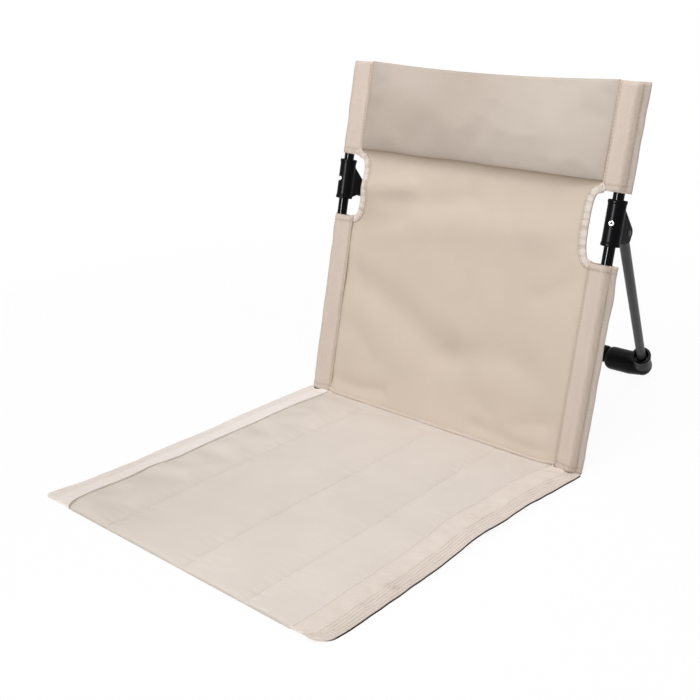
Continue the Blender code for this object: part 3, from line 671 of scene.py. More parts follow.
def swellPad(top, under, sewn, taut, look):
    # swells the pad as sewn cloth with air in it, and gives how far each point of its top moved
    piece = makePiece("padCloth", sheetShape(top, under), "seatCloth")
    count = sewn.size
    held = piece.vertex_groups.new(name="sewn")
    held.add(np.flatnonzero(sewn).tolist() + list(range(count, 2 * count)), 1, "REPLACE")
    tight = piece.vertex_groups.new(name="taut")
    for point, share in enumerate(taut.reshape(-1)):
        tight.add([point], float(share), "REPLACE")
    cloth = piece.modifiers.new("cloth", "CLOTH")
    cloth.collision_settings.use_collision = False
    settings = cloth.settings
    settings.quality = padSewing["quality"]
    settings.mass = padSewing["mass"]
    settings.tension_stiffness = settings.compression_stiffness = padSewing["stiffness"]
    settings.bending_stiffness = padSewing["bending"]
    settings.air_damping = padSewing["damping"]
    settings.vertex_group_mass = "sewn"
    settings.vertex_group_shrink = "taut"
    settings.shrink_min = -look["slack"]
    settings.shrink_max = -look["tautSlack"]
    settings.use_pressure = True
    settings.uniform_pressure_force = look["pressure"]
    settings.effector_weights.gravity = 0
    stage = bpy.context.scene
    for step in range(padSewing["frames"] + 1):
        stage.frame_set(step)
    mesh = piece.evaluated_get(bpy.context.evaluated_depsgraph_get()).data
    flat = np.empty(len(mesh.vertices) * 3, np.float32)
    mesh.vertices.foreach_get("co", flat)
    moved = flat.reshape(-1, 3)[:count].reshape(top.shape) - top
    stage.frame_set(1)
    bpy.data.objects.remove(piece)
    for smoothing in range(padSewing["soften"]):
        moved[1:-1] = (moved[:-2] + 2 * moved[1:-1] + moved[2:]) / 4
        moved[:, 1:-1] = (moved[:, :-2] + 2 * moved[:, 1:-1] + moved[:, 2:]) / 4
        moved[sewn] = 0
    far = np.linalg.norm(moved, axis=-1, keepdims=True)
    print("pad swelled, furthest point moved", round(float(far.max()) * 1000, 2), "mm, mean",
          round(float(far.mean()) * 1000, 2))
    return moved * np.minimum(1, look["cap"] / np.maximum(far, 1e-9))


# Boxes of the pieces, in back coordinates

panelLow, panelHigh = backBox("back_panel")
headrestLow = backBox("headrest_cover")[0]
upperLow, upperHigh = backBox("upper_pocket_right")
lowerLow, lowerHigh = backBox("lower_pocket_right")
bindingLow, bindingHigh = backBox("scallop_binding_right")
sleeveLow, sleeveHigh = backBox("hinge_sleeve_right")
pinLow, pinHigh = backBox("hinge_pin_right")
reachLook = {
    "fold": 0.0026,  # the back cloth runs into the fold roll
    "foot": 0.0022,  # height where the lower pockets end, over the plugs
    "pocket": 0.003,  # the pockets' open ends run past the frame's
    "binding": 0.009,
    "notchRaise": 0.0008,
    "notchTrim": 0.0035,
}
panelLow[2] -= reachLook["fold"]
lowerLow[2] = reachLook["foot"]
lowerHigh[2] += reachLook["pocket"]
upperLow[2] -= reachLook["pocket"]
seamX = lowerLow[0]
edgeX = lowerHigh[0]
foldPlace = np.array(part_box("fold_seam")).mean(0)
foldBack = toBack(foldPlace)
notch = {
    "depth": bindingHigh[0] - bindingLow[0] - reachLook["binding"],
    "middle": (bindingLow[2] + bindingHigh[2]) / 2 + reachLook["notchRaise"],
    "half": (bindingHigh[2] - bindingLow[2]) / 2 - reachLook["binding"] - reachLook["notchTrim"],
    "upperPower": 3.4,
    "lowerPower": 2.3,
}
lean = math.degrees(math.atan2(backUp[1], backUp[2]))
print("back leans", round(lean, 2), "degrees, seams at", round(seamX, 4))


def notchDepth(up):
    share = np.clip(np.abs(up - notch["middle"]) / notch["half"], 0, 1)
    power = np.where(up > notch["middle"], notch["upperPower"], notch["lowerPower"])
    return notch["depth"] * (1 - share ** power) ** (1 / power)


def notchLine(grow, start, count):
    # depths and heights along the notch, from its upper end, this far outside it
    angle = np.linspace(start, math.pi - start, count)
    power = np.where(np.cos(angle) > 0, notch["upperPower"], notch["lowerPower"])
    depth = (notch["depth"] + grow) * np.abs(np.sin(angle)) ** (2 / power)
    rise = np.sign(np.cos(angle)) * np.abs(np.cos(angle)) ** (2 / power)
    return depth, notch["middle"] + (notch["half"] + grow) * rise


# Back cloth

backLook = {
    "columns": 150,
    "rows": 230,
    "thickness": 0.0012,
    "hem": 0.010,
    "hemStep": 0.0012,
    "hemThickness": 0.0026,
    "topRound": 0.0016,
    "notchTrim": 0.0004,  # cut back from the tape's outer edge
    "foldDepth": 2.0,
    "topSag": 0.005,
    "hollow": 0.0016,  # the cloth hangs back a little between the tubes
    "curve": 0.060,  # height over which it runs forward to the fold
    "edgeCurve": 0.020,
    "rollBend": 0.0052,
    "hang": 0.12,  # height over which it comes free at both ends
    "edgeHold": 0.35,  # share of the folds that is left at the pockets
    "tuck": 0.003,  # how far it goes into the pockets
    "rumple": 0.00035,
    # painted shade: a darker line along the pocket seams, partly painted shade beside the pocket edge;
    # painted shade above the fold roll; the shadow under the headrest and beside the notch tape
    "shade": {  # strength and width
        "seam": (0.40, 0.0018),
        "fold": (0.20, 0.004),
        "headrest": (0.80, 0.0060),
        "tape": (0.45, 0.0022),
    },
    # painted shadow in a hollow beside the left notch
    "dimPatch": {"strength": 0.34, "middle": (-0.165, 0.255), "size": (0.035, 0.026)},
    "folds": [
        {"path": [(-0.176, 0.166), (-0.120, 0.146), (-0.075, 0.130), (-0.030, 0.104), (0.004, 0.092)],
         "width": 0.026, "depth": 0.0026},
        {"path": [(0.004, 0.092), (0.050, 0.106), (0.085, 0.108), (0.115, 0.104)],
         "width": 0.020, "depth": 0.0013},
        {"path": [(0.058, 0.052), (0.080, 0.037), (0.100, 0.025)], "width": 0.011, "depth": 0.0007},
        {"path": [(0.118, 0.034), (0.150, 0.046), (0.177, 0.050)], "width": 0.011, "depth": 0.0007},
        {"path": [(-0.176, 0.284), (-0.130, 0.287), (-0.090, 0.293)], "width": 0.014, "depth": -0.0022},
        {"path": [(-0.176, 0.240), (-0.130, 0.243), (-0.100, 0.250)], "width": 0.016, "depth": 0.0017},
        {"path": [(-0.150, 0.238), (-0.060, 0.249), (0.050, 0.262), (0.125, 0.266)],
         "width": 0.022, "depth": -0.0016},
        {"path": [(-0.125, 0.272), (-0.064, 0.276), (0.010, 0.292)], "width": 0.014, "depth": 0.0009},
        {"path": [(-0.176, 0.022), (-0.130, 0.018), (-0.090, 0.024)], "width": 0.011, "depth": 0.0016},
        {"path": [(0.060, 0.020), (0.110, 0.014), (0.172, 0.012)], "width": 0.009, "depth": 0.0014},
        {"path": [(0.120, 0.190), (0.150, 0.205), (0.172, 0.222)], "width": 0.014, "depth": 0.0009},
        {"path": [(-0.168, 0.100), (-0.140, 0.085), (-0.110, 0.060)], "width": 0.014, "depth": 0.0008},
    ],
}


def panelTop(x):
    return panelHigh[2] - backLook["topSag"] * (1 - np.clip(np.abs(x) / seamX, 0, 1) ** 2)


def rollBend(x):
    # the fold's ends run back to the pocket seams
    return backLook["rollBend"] * smoothStep(0.93, 1.0, np.abs(x) / seamX)


def panelRear(x, up):
    # middle of the back cloth, behind the line of the uprights
    share = np.clip(np.abs(x) / seamX, 0, 1)
    height = backLook["edgeCurve"] + (backLook["curve"] - backLook["edgeCurve"]) * (1 - share ** 6)
    forward = (foldBack[1] + rollBend(x)) * np.clip(1 - (up - panelLow[2]) / height, 0, 1) ** 2
    free = backLook["hang"]
    hang = smoothStep(panelLow[2], panelLow[2] + free, up) * smoothStep(panelHigh[2], panelHigh[2] - free, up)
    held = backLook["edgeHold"] + (1 - backLook["edgeHold"]) * smoothStep(1, 0.9, share)
    loose = backLook["foldDepth"] * folds(x, up, backLook["folds"])
    loose = loose + backLook["rumple"] * rumple(x, up, 0.06, 11)
    return forward + backLook["hollow"] * hang * (1 - share ** 2) + held * loose


headrestLook = {
    "columns": 170,
    "rows": 90,
    "thickness": 0.0132,
    "roll": 0.022,  # height of the rounded lower edge
    "underTurn": -0.45,  # radians, where the roll turns in under itself
    "rollRows": 26,
    "topRound": 0.0030,
    "sideRound": 0.045,
    "sideLeast": 0.07,
    "topLeast": 0.30,
    "tuck": 0.0008,  # under the pockets
    "base": 0.0009,  # in front of the middle of the back cloth
    "gather": 0.0004,  # puckers under the top edge
    "gatherReach": 0.012,
    "gatherPitch": 0.016,
    "rumple": 0.0005,
    "lift": 0.0042,  # lower edge, above the frame's
    "tilt": 0.005,  # the lower edge rises to the right
    "edgeRumple": 0.0009,
    # painted shade: rollShade on the underside of the lower roll, leftShade over the left part of the cover,
    # shade beside the pocket seams
    "rollShade": 0.08,
    "leftShade": 0.45,
    "shade": {"seam": (0.30, 0.0020)},
    "over": 0.0006,  # top edge, above the back cloth's
    "sewn": 0.0035,  # width of the held edges
    "sewnTurn": 0.35,  # radians of the roll that are held
    "sewnGrid": (44, 13, 86),  # rows, rows of the roll and columns of the simulated cloth
    "pressure": 4,
    "slack": 0.012,
    "tautSlack": 0.003,
    "cap": 0.004,
    "folds": [
        {"path": [(-0.150, 0.385), (-0.120, 0.370), (-0.095, 0.350)], "width": 0.020, "depth": 0.0014},
        {"path": [(0.150, 0.400), (0.125, 0.380), (0.110, 0.362)], "width": 0.016, "depth": 0.0010},
        {"path": [(-0.03, 0.405), (0.03, 0.398), (0.09, 0.404)], "width": 0.016, "depth": 0.0008},
        {"path": [(-0.135, 0.436), (-0.128, 0.415)], "width": 0.012, "depth": -0.0012},
        {"path": [(0.02, 0.352), (0.07, 0.356), (0.12, 0.350)], "width": 0.012, "depth": -0.0008},
    ],
}


def headrestBottom(x):
    low = headrestLow[2] + headrestLook["lift"] + headrestLook["tilt"] * x
    return low + headrestLook["edgeRumple"] * rumple(x, 0 * x, 0.09, 19)


def makeBackPanel():
    look = backLook
    t = np.linspace(-1, 1, look["columns"])[None, :]
    v = np.linspace(0, 1, look["rows"])[:, None]
    level = panelLow[2] + (panelHigh[2] - panelLow[2]) * v
    half = np.where(np.abs(level - notch["middle"]) < notch["half"],
                    seamX - notchDepth(level) - look["notchTrim"], seamX + look["tuck"])
    x = half * t
    up = panelLow[2] + (panelTop(x) - panelLow[2]) * v
    middle = panelRear(x, up)
    toTop = panelTop(x) - up
    hemmed = smoothStep(look["hem"], look["hem"] - look["hemStep"], toTop)
    thick = look["thickness"] + (look["hemThickness"] - look["thickness"]) * hemmed
    thick = thick * roundOff(toTop, look["topRound"], 0.06)
    # painted shade and shadows on the back cloth: along the seams, above the fold, under the headrest, in the
    # hollow by the left notch and beside the tape
    seam = shadeLine(look, "seam", np.abs(np.abs(x) - seamX), fade)
    seam = seam + shadeLine(look, "fold", up - panelLow[2], fade)
    seam = seam + shadeLine(look, "headrest", np.clip(headrestBottom(x) - up, 0, 1), bell)
    patch = look["dimPatch"]
    dim = bell(x - patch["middle"][0], patch["size"][0]) * bell(up - patch["middle"][1], patch["size"][1])
    seam = seam + patch["strength"] * dim
    toTape = seamX - np.abs(x) - notchDepth(up) - reachLook["binding"]
    seam = seam + shadeLine(look, "tape", toTape, bell) * smoothStep(0, 0.008, notchDepth(up))
    front, rear = (fromBack(x, middle + face * thick / 2, up) for face in (-1, 1))
    piece = makeSheet("backPanel", front, rear, "backCloth", x, up, seam)
    return seat(piece, "backrest", "panel_cloth", "back_panel")


backPanel = makeBackPanel()
print("back cloth is made")


def headrestTop(x):
    return panelTop(x) + headrestLook["over"]


def headrestSwell(x, up):
    # how far the cover stands out, before its lower roll
    look = headrestLook
    toTop = np.clip(headrestTop(x) - up, 0, 1)
    toSide = np.clip((seamX + look["tuck"] - np.abs(x)) / look["sideRound"], 0, 1)
    fall = look["topLeast"] + (1 - look["topLeast"]) * smoothStep(-0.03, 0.085, toTop)
    crest = roundOff(toTop, look["topRound"])
    side = look["sideLeast"] + (1 - look["sideLeast"]) * (1 - (1 - toSide) ** 2.2)
    swell = look["thickness"] * fall * crest * side
    gather = look["gather"] * fade(toTop, look["gatherReach"]) * rumple(x, up * 0.15, look["gatherPitch"], 5)
    soft = np.clip(swell / 0.005, 0, 1)
    loose = folds(x, up, look["folds"]) + look["rumple"] * rumple(x, up, 0.05, 23)
    return np.maximum(swell + (gather - loose) * soft, 0.0002)


def headrestFaces(rows, rollRows, columns):
    # front and rear grids, with x, height and the turn of the roll
    look = headrestLook
    t = np.linspace(-1, 1, columns)[None, :]
    t = 0.35 * np.sin(t * quarter) + 0.65 * t
    v = np.linspace(0, 1, rows)[:, None]
    start = math.sin(look["underTurn"])
    share = rollRows / rows
    turn = look["underTurn"] + (quarter - look["underTurn"]) * np.clip(v / share, 0, 1)
    rest = np.clip((v - share) / (1 - share), 0, 1)
    rest = 0.6 * rest + 0.4 * np.sin(rest * quarter)
    x = (seamX + look["tuck"]) * t
    rollTop = headrestBottom(x) + look["roll"]
    up = np.where(v < share, rollTop - look["roll"] * np.cos(turn),
                  rollTop + (headrestTop(x) - rollTop) * rest)
    out = (np.sin(turn) - start) / (1 - start)
    x = x + 0 * up
    base = panelRear(x, up) - look["base"]
    front = fromBack(x, base - headrestSwell(x, up) * out, up)
    low = up[0]
    rearUp = low + (up[-1] - low) * v
    rear = fromBack(x, panelRear(x, rearUp) - look["base"], rearUp)
    return front, rear, x, up, turn


def makeHeadrest():
    look = headrestLook
    front, rear, x, up, turn = headrestFaces(*look["sewnGrid"])
    toSide = seamX - np.abs(x)
    sewn = (toSide < look["sewn"]) | (headrestTop(x) - up < look["sewn"]) | (turn + 0 * x < look["sewnTurn"])
    moved = swellPad(front, rear + 0.0008 * backRear, sewn, 1 - fade(np.clip(toSide, 0, 1), 0.03), look)
    front, rear, x, up, turn = headrestFaces(look["rows"], look["rollRows"], look["columns"])
    front = front + spread(moved, look["rows"], look["columns"])
    toTop = headrestTop(x) - up
    # painted shade beside the seams, under the lower roll and over the left part of the cover
    seam = shadeLine(look, "seam", seamX - np.abs(x), fade)
    rolled = smoothStep(1.05, 0.15, turn + 0 * x) * (1 - 0.8 * smoothStep(0.05, 0.15, x))
    seam = seam + look["rollShade"] * rolled
    dim = 0.75 * smoothStep(0.09, -0.05, x) + 0.25 * smoothStep(-0.05, -0.17, x)
    dim = dim * (1 - 0.6 * smoothStep(0.05, 0.02, toTop) * smoothStep(-0.03, -0.10, x))
    seam = seam + look["leftShade"] * dim
    piece = makeSheet("headrestPad", front, rear, "headrestCloth", x, up, seam)
    return seat(piece, "backrest", "panel_cloth", "headrest_cover", "headrest_foam")


headrestPad = makeHeadrest()
print("headrest is made")


foldLook = {"radius": 0.0021, "rows": 180, "around": 20, "pucker": 0.00035, "past": 0.002}


def makeFoldRoll():
    end = seamX + foldLook["past"]
    x = np.linspace(-end, end, foldLook["rows"])[:, None]
    turn = np.linspace(0, math.tau, foldLook["around"], endpoint=False)[None, :]
    radius = foldLook["radius"] + foldLook["pucker"] * rumple(x, 0 * x, 0.010, 31)
    y = foldPlace[1] + rollBend(x) + radius * np.cos(turn)
    rings = np.stack((x + 0 * turn, y, foldPlace[2] + radius * np.sin(turn)), -1)
    cloth = np.concatenate((flatGrid(x, turn * foldLook["radius"]), [(-seamX, 0), (seamX, 0)]))
    piece = makePiece("foldRoll", loftShape(rings), "edgeCloth", cloth)
    return seat(piece, "backrest", "panel_cloth", "fold_seam")


foldRoll = makeFoldRoll()


# Pockets on the uprights

pocketLook = {
    "columns": 40,
    "rowPitch": 0.002,
    "cloth": 0.0012,
    "seamHalf": 0.0019,  # half thickness at the panel seam
    "edgeHalf": 0.0013,
    "hem": 0.0088,
    "hemLift": 0.0004,
    "hemRow": 0.0016,  # its stitching, from the hem's edge
    "stitchSink": 0.0004,
    "edgeRound": 0.0012,
    "endRound": 0.0014,
    "hang": 0.0011,  # slack cloth falls in beside the tube
    "rumple": 0.0005,
    "edgeWave": 0.0007,
    "flangeTurn": 0.42,  # slope of the outer flange, back from the tube
    "flangeSink": 0.0003,
    "topRound": 0.006,
    "topSag": 0.0006,
    "topCloth": 0.0035,  # closed end above the tunnel
    "mottle": 0.10,
    # painted shade along the seam, the stitch lines, the flange groove and the hem; the mottle is random tone
    "shade": {"seam": (0.75, 0.0010), "row": (0.5, 0.0007), "rim": (0.5, 0.0010), "hem": (0.45, 0.0011)},
    "rowPlace": 0.0036,  # stitching, from the seam
    "rimPlace": 0.0052,  # stitching, from the rim
    "hemPlace": 0.0012,
    # painted shade on the side of the tube away from the lamps, stronger on the right pockets
    "fallShade": {-1: 0.06, 1: 0.28},  # beside the tube, where the cloth falls back
    "fallPlace": 0.0088,
    "fallWidth": 0.0036,
    # painted shade inside the tunnel
    "tunnelShade": 0.7,
}
tubeBulge = tubeRadius + 0.0003 + pocketLook["cloth"]


def bulgeHalf(across):
    # half thickness over the tube, with straight runs from the bulge to both flat edges
    result = np.sqrt(np.clip(tubeBulge ** 2 - across ** 2, 0, None))
    for end, half in ((seamX - uprightX, pocketLook["seamHalf"]), (edgeX - uprightX, pocketLook["edgeHalf"])):
        angle = math.atan2(half, end)
        reach = math.acos(tubeBulge / math.hypot(end, half))
        meet = angle - reach if end < 0 else angle + reach
        meetAcross, meetHalf = tubeBulge * math.cos(meet), tubeBulge * math.sin(meet)
        share = (across - end) / (meetAcross - end)
        run = half + (meetHalf - half) * share
        hang = pocketLook["hang"] * np.sin(math.pi * np.clip(share, 0, 1)) * (1 if end < 0 else 0.5)
        result = np.where((share >= 0) & (share <= 1), run - hang, result)
    return result


def flangeBack(across):
    # how far the outer flange turns back from the tube
    past = np.clip(across - 0.6 * tubeBulge, 0, None)
    return pocketLook["flangeTurn"] * past ** 1.5 / 0.009 ** 0.5


def tunnelRings(x, middle, half, up):
    # a front and a rear face, closed to rings
    return np.concatenate((fromBack(x, middle - half, up), fromBack(x, middle + half, up)[:, ::-1]), 1)


def makePocket(name, node, sign, closedTop, seed):
    look = pocketLook
    low, high = (upperLow, upperHigh) if closedTop else (lowerLow, lowerHigh)
    bottom, top = low[2], high[2]
    rows = max(8, int((top - bottom) / look["rowPitch"]))
    u = (1 - np.cos(np.linspace(0, math.pi, look["columns"]))) / 2
    u = 0.5 * u + 0.5 * np.linspace(0, 1, look["columns"])
    across = (seamX - uprightX) + (edgeX - seamX) * u[None, :]
    up = np.linspace(bottom, top, rows)[:, None]
    fromEnd = np.minimum(up - bottom, 1 if closedTop else top - up)
    half = bulgeHalf(across) + 0 * up
    half = half + look["hemLift"] * smoothStep(look["hem"] + 0.0006, look["hem"] - 0.0006, fromEnd)
    half = half - look["stitchSink"] * bell(fromEnd - look["hem"] + look["hemRow"], 0.0011)
    half = half - look["flangeSink"] * smoothStep(edgeX - 0.0062, edgeX - 0.0046, across + uprightX)
    if closedTop:
        into = np.clip((up - top + look["topRound"]) / look["topRound"], 0, 1)
        flat = np.minimum(half, look["edgeHalf"])
        half = flat + (half - flat) * np.sqrt(1 - into ** 2)
    toEdge = np.minimum(across - across[0, 0], across[0, -1] - across)
    toEnd = np.minimum(up - bottom, top - up)
    rounded = half * roundOff(toEdge, look["edgeRound"], 0.12) * roundOff(toEnd, look["endRound"], 0.3)
    slack = np.clip(1 - half / tubeBulge, 0, 1)
    loose = look["rumple"] * slack * rumple(across * 1.5, up, 0.034, seed)
    wave = look["edgeWave"] * u[None, :] ** 3 * rumple(0 * up, up, 0.05, seed + 3)
    rise = up + 0 * across
    if closedTop:
        rise = rise - look["topSag"] * np.sin(math.pi * u[None, :]) * smoothStep(top - 0.012, top, up)
    outer = tunnelRings(sign * (uprightX + across + wave), loose + flangeBack(across), rounded, rise)

    inside = np.linspace(-tubeBulge - 0.0022, tubeBulge + 0.0016, look["columns"])[None, :]
    innerUp = up[up[:, 0] <= top - look["topCloth"]] if closedTop else up
    innerHalf = np.maximum(bulgeHalf(inside) - look["cloth"], 0.00025) + 0 * innerUp
    innerHalf = np.maximum(innerHalf, np.sqrt(np.clip((tubeRadius + 0.0002) ** 2 - inside ** 2, 0, None)))
    inner = tunnelRings(sign * (uprightX + inside + 0 * innerUp), flangeBack(inside), innerHalf, innerUp)
    around = outer.shape[1]
    count = rows * around
    faces = gridFaces(rows, around, wrap=True)
    faces += [tuple(reversed(face)) for face in gridFaces(len(inner), around, wrap=True, start=count)]
    for step in range(around):  # hem edge between the outside and the tunnel
        after = (step + 1) % around
        faces.append((step, count + step, count + after, after))
    outerLast = (rows - 1) * around
    innerLast = count + (len(inner) - 1) * around
    if closedTop:
        for step in range(around // 2 - 1):
            for start in (outerLast, innerLast):
                end = start + around - 1 - step
                faces.append((start + step, start + step + 1, end - 1, end))
    else:
        for step in range(around):
            after = (step + 1) % around
            faces.append((outerLast + step, outerLast + after, innerLast + after, innerLast + step))
    points = np.concatenate((outer.reshape(-1, 3), inner.reshape(-1, 3)))
    unfold = np.concatenate((u, 2 - u[::-1])) * (edgeX - seamX)
    cloth = np.concatenate([flatGrid(unfold[None, :], part[:, :1, 2]) for part in (outer, inner)])
    toSeam, toRim = (np.concatenate((far, far[::-1]))[None, :]
                     for far in (across[0] - across[0, 0], across[0, -1] - across[0]))
    # painted shade along the seam, stitch lines, flange groove and hem, on the tube's side away from the
    # lamps and over the whole inside of the tunnel; the mottle is random tone
    seam = shadeLine(look, "seam", toSeam, fade) + shadeLine(look, "row", toSeam - look["rowPlace"], bell)
    seam = seam + shadeLine(look, "rim", np.abs(toRim - look["rimPlace"]), fade)
    seam = seam + look["fallShade"][sign] * bell(toRim - look["fallPlace"], look["fallWidth"])
    seam = seam + shadeLine(look, "hem", np.abs(fromEnd - look["hem"] + look["hemPlace"]), fade)
    seam = seam + look["mottle"] * rumple(unfold[None, :] + 0 * up, up + 0 * unfold, 0.006, seed + 5)
    seam = np.concatenate((seam.reshape(-1), np.full(len(points) - count, look["tunnelShade"])))
    piece = makePiece(name, (points, faces), "edgeCloth", cloth, seam)
    return seat(piece, "backrest", "edge_cloth", node)


pockets = {}
for sideName, sign in sides.items():
    for level, closedTop, seed in (("upper", True, 41), ("lower", False, 51)):
        pockets[level, sideName] = makePocket(level + "Pocket" + sideName.title(),
                                              level + "_pocket_" + sideName, sign, closedTop, seed + sign)
print("pockets are made:", len(pockets))


# Bound edge of each notch

tapeLook = {
    "width": 0.0098,
    "overhang": 0.0006,  # past the cut edge, into the notch
    "thickness": 0.0030,
    "pucker": 0.0095,  # pitch of the puckers
    "puckerDepth": 0.0006,
    "steps": 150,
    "around": 20,
    "upperTail": 0.0090,
    "upperWay": (0.8, 0.6),
    "lowerTail": 0.0035,
    "lowerWay": (1.0, -0.15),
    "ahead": 0.0024,  # lies over the pocket's corner
    "aheadReach": 0.013,
    "wander": 1.7,  # radians, of the puckers along the tape
    "wanderSize": 0.026,
    "fadeSize": 0.017,  # some puckers are flatter
    # painted shade in the hollows between the puckers and along both edges, darkest at the inner edge
    "shade": {"puckers": 0.66, "inner": 0.75, "outer": 0.25},
}


def makeTape(sideName, sign):
    depth, up = notchLine(0, 0, 400)
    path = np.stack((seamX - depth, up), -1)
    tail = np.linspace(tapeLook["upperTail"], 0, 12, endpoint=False)[:, None]
    upper = path[0] + tail * np.array(tapeLook["upperWay"])
    lower = path[-1] + np.linspace(0, tapeLook["lowerTail"], 8)[1:, None] * np.array(tapeLook["lowerWay"])
    path = np.concatenate((upper, path, lower))
    length = alongPath(path)
    even = np.linspace(0, length[-1], tapeLook["steps"])
    path = np.stack([np.interp(even, length, path[:, axis]) for axis in (0, 1)], -1)
    for smoothing in range(6):
        path[1:-1] = (path[:-2] + 2 * path[1:-1] + path[2:]) / 4
    along = np.gradient(path, axis=0)
    along /= np.linalg.norm(along, axis=1)[:, None]
    inward = np.stack((along[:, 1], -along[:, 0]), -1)  # into the cloth
    if inward[len(inward) // 2, 0] > 0:
        inward = -inward
    base = panelRear(path[:, 0] * sign, path[:, 1])
    base = base - tapeLook["ahead"] * smoothStep(tapeLook["aheadReach"], 0, even)
    turn = np.linspace(0, math.tau, tapeLook["around"], endpoint=False)
    wide = np.sign(np.cos(turn)) * np.abs(np.cos(turn)) ** 0.55
    thick = np.sign(np.sin(turn)) * np.abs(np.sin(turn)) ** 0.6
    phase = random.Random(61 + sign).uniform(0, math.tau)
    phase = phase + tapeLook["wander"] * rumple(even, 0 * even, tapeLook["wanderSize"], 63 + sign)
    beat = np.sin(math.tau * even / tapeLook["pucker"] + phase)
    beat = beat * np.clip(0.7 + 0.5 * rumple(even, 0 * even, tapeLook["fadeSize"], 67 + sign), 0.15, 1.2)
    swell = tapeLook["puckerDepth"] * beat
    middleOffset = tapeLook["width"] / 2 - tapeLook["overhang"]
    reach = middleOffset + wide[None, :] * (tapeLook["width"] / 2 + 0.12 * swell[:, None])
    x = path[:, :1] + inward[:, :1] * reach
    up = path[:, 1:] + inward[:, 1:] * reach
    puff = 0.5 * swell[:, None] * (0.4 + 0.6 * (wide > 0))
    rear = base[:, None] + thick[None, :] * (tapeLook["thickness"] / 2 + puff)
    shape = loftShape(fromBack(sign * x, rear, up))
    cloth = np.concatenate((flatGrid(turn[None, :] * 0.0025, even[:, None]), [(0, 0), (0, even[-1])]))
    # painted shade in the pucker hollows and along the tape's edges
    dark = tapeLook["shade"]
    shade = dark["puckers"] * (0.5 - 0.5 * beat)[:, None] ** 2
    shade = shade + dark["inner"] * (wide[None, :] > 0.75) + dark["outer"] * (wide[None, :] < -0.85)
    piece = makePiece("notchTape" + sideName.title(), shape, "tapeCloth", cloth,
                      np.concatenate((shade.reshape(-1), (0, 0))))
    return seat(piece, "backrest", "edge_cloth", "scallop_binding_" + sideName)


tapes = {sideName: makeTape(sideName, sign) for sideName, sign in sides.items()}
print("notch tapes are made")


# Seat

# share from the front to the rear, and how far each strip's inner edge lies over the pad, or how high
seamLook = {
    "overlap": 0.0012,
    "left": {
        "inset": ((0, 0.0125), (0.015, 0.0062), (0.035, 0.0023), (0.06, 0.0017), (0.1, 0.0003),
                  (0.15, 0.0017), (0.2, 0.0030), (0.25, 0.0007), (0.285, -0.0007), (0.31, 0.0002),
                  (0.335, 0.0025), (0.385, 0.0041), (0.45, 0.0017), (0.5, 0.0008), (0.57, 0.0002),
                  (0.63, -0.0004), (0.7, -0.0012), (0.75, -0.0023), (0.8, -0.0031), (0.85, -0.0036),
                  (0.9, -0.0026), (0.95, -0.0010), (1, 0)),
        "lift": ((0, 0), (1, 0)),
    },
    "right": {
        "inset": ((0, 0), (0.06, 0), (0.11, 0.0006), (0.15, 0.0010), (0.19, 0.0030), (0.27, 0.0036),
                  (0.33, 0.0040), (0.36, 0.0045), (0.41, 0.0056), (0.46, 0.0069), (0.51, 0.0100),
                  (0.545, 0.0130), (0.6, 0.0134), (0.636, 0.0130), (0.66, 0.0116), (0.7, 0.0106),
                  (0.83, 0.0121), (0.876, 0.0112), (0.92, 0.0091), (0.96, 0.0060), (1, 0.0010)),
        "lift": ((0, 0), (0.3, 0.0003), (0.45, 0.0012), (0.55, 0.0022), (0.64, 0.0022), (0.72, 0.0014),
                 (0.83, 0.0018), (0.92, 0.0008), (1, 0)),
    },
}


def smoothCurve(pairs, share, passes):
    # smooth curve through (share, value) pairs
    table = np.array(pairs)
    even = np.linspace(0, 1, 301)
    curve = np.interp(even, table[:, 0], table[:, 1])
    for smoothing in range(passes):
        curve[1:-1] = (curve[:-2] + 2 * curve[1:-1] + curve[2:]) / 4
    return np.interp(share, even, curve)


def seamInset(sideName, share):
    return smoothCurve(seamLook[sideName]["inset"], share, 10)


def seamLift(sideName, share):
    return smoothCurve(seamLook[sideName]["lift"], share, 60)


seatLook = {
    "columns": 190,
    "rows": 200,
    "crown": 0.0032,  # height of a channel over its stitch lines, before it swells
    "low": 0.0022,
    "base": 0.0017,
    "endRound": 0.005,
    "rearRise": 0.016,  # where the pad rises to the fold
    "rollRise": 0.0002,
    "rumple": 0.00035,
    "pucker": 0.0004,
    "puckerPitch": 0.011,
    "sideRipple": 0.0007,
    "ripplePitch": 0.046,
    "sewn": {"side": 0.003, "front": 0.004, "rear": 0.014, "line": 0.003},  # widths of the held cloth
    "sewnGrid": (104, 90),  # rows and columns of the simulated cloth
    "pressure": 2,
    "slack": 0.006,
    "tautSlack": 0.0,
    "cap": 0.0025,
    # painted shade: the shadow gap at the left seam, the front left corner, the front edge, near the fold and
    # in the stitched channel lines
    "shade": {  # strength and width
        "side": (0.45, 0.0011),
        "corner": (0.5, 0.0018),
        "front": (0.55, 0.0012),
        "rear": (0.22, 0.045),
        "stitches": (0.05, 0.0016),
    },
    # painted shade over the front left of the pad
    "leftShade": 0.26,
    "stitches": (  # places across at the front and at the rear
        (-0.1005, -0.106),
        (0.0225, 0.009),
        (0.1175, 0.101),
    ),
    "folds": [
        {"path": [(0.03, -0.05), (0.09, -0.10), (0.12, -0.16)], "width": 0.020, "depth": 0.0006},
        {"path": [(-0.16, -0.11), (-0.12, -0.13)], "width": 0.014, "depth": 0.0009},
        {"path": [(-0.165, -0.19), (-0.12, -0.20)], "width": 0.014, "depth": 0.0009},
        {"path": [(-0.165, -0.27), (-0.125, -0.265)], "width": 0.013, "depth": 0.0008},
        {"path": [(-0.03, -0.20), (0.02, -0.23)], "width": 0.02, "depth": 0.0006},
    ],
}
seatLow, seatHigh = (np.array(corner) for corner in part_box("seat_cover"))
seatHigh[1] = foldPlace[1] - 0.0002  # into the fold roll
seatDepth = seatHigh[1] - seatLow[1]
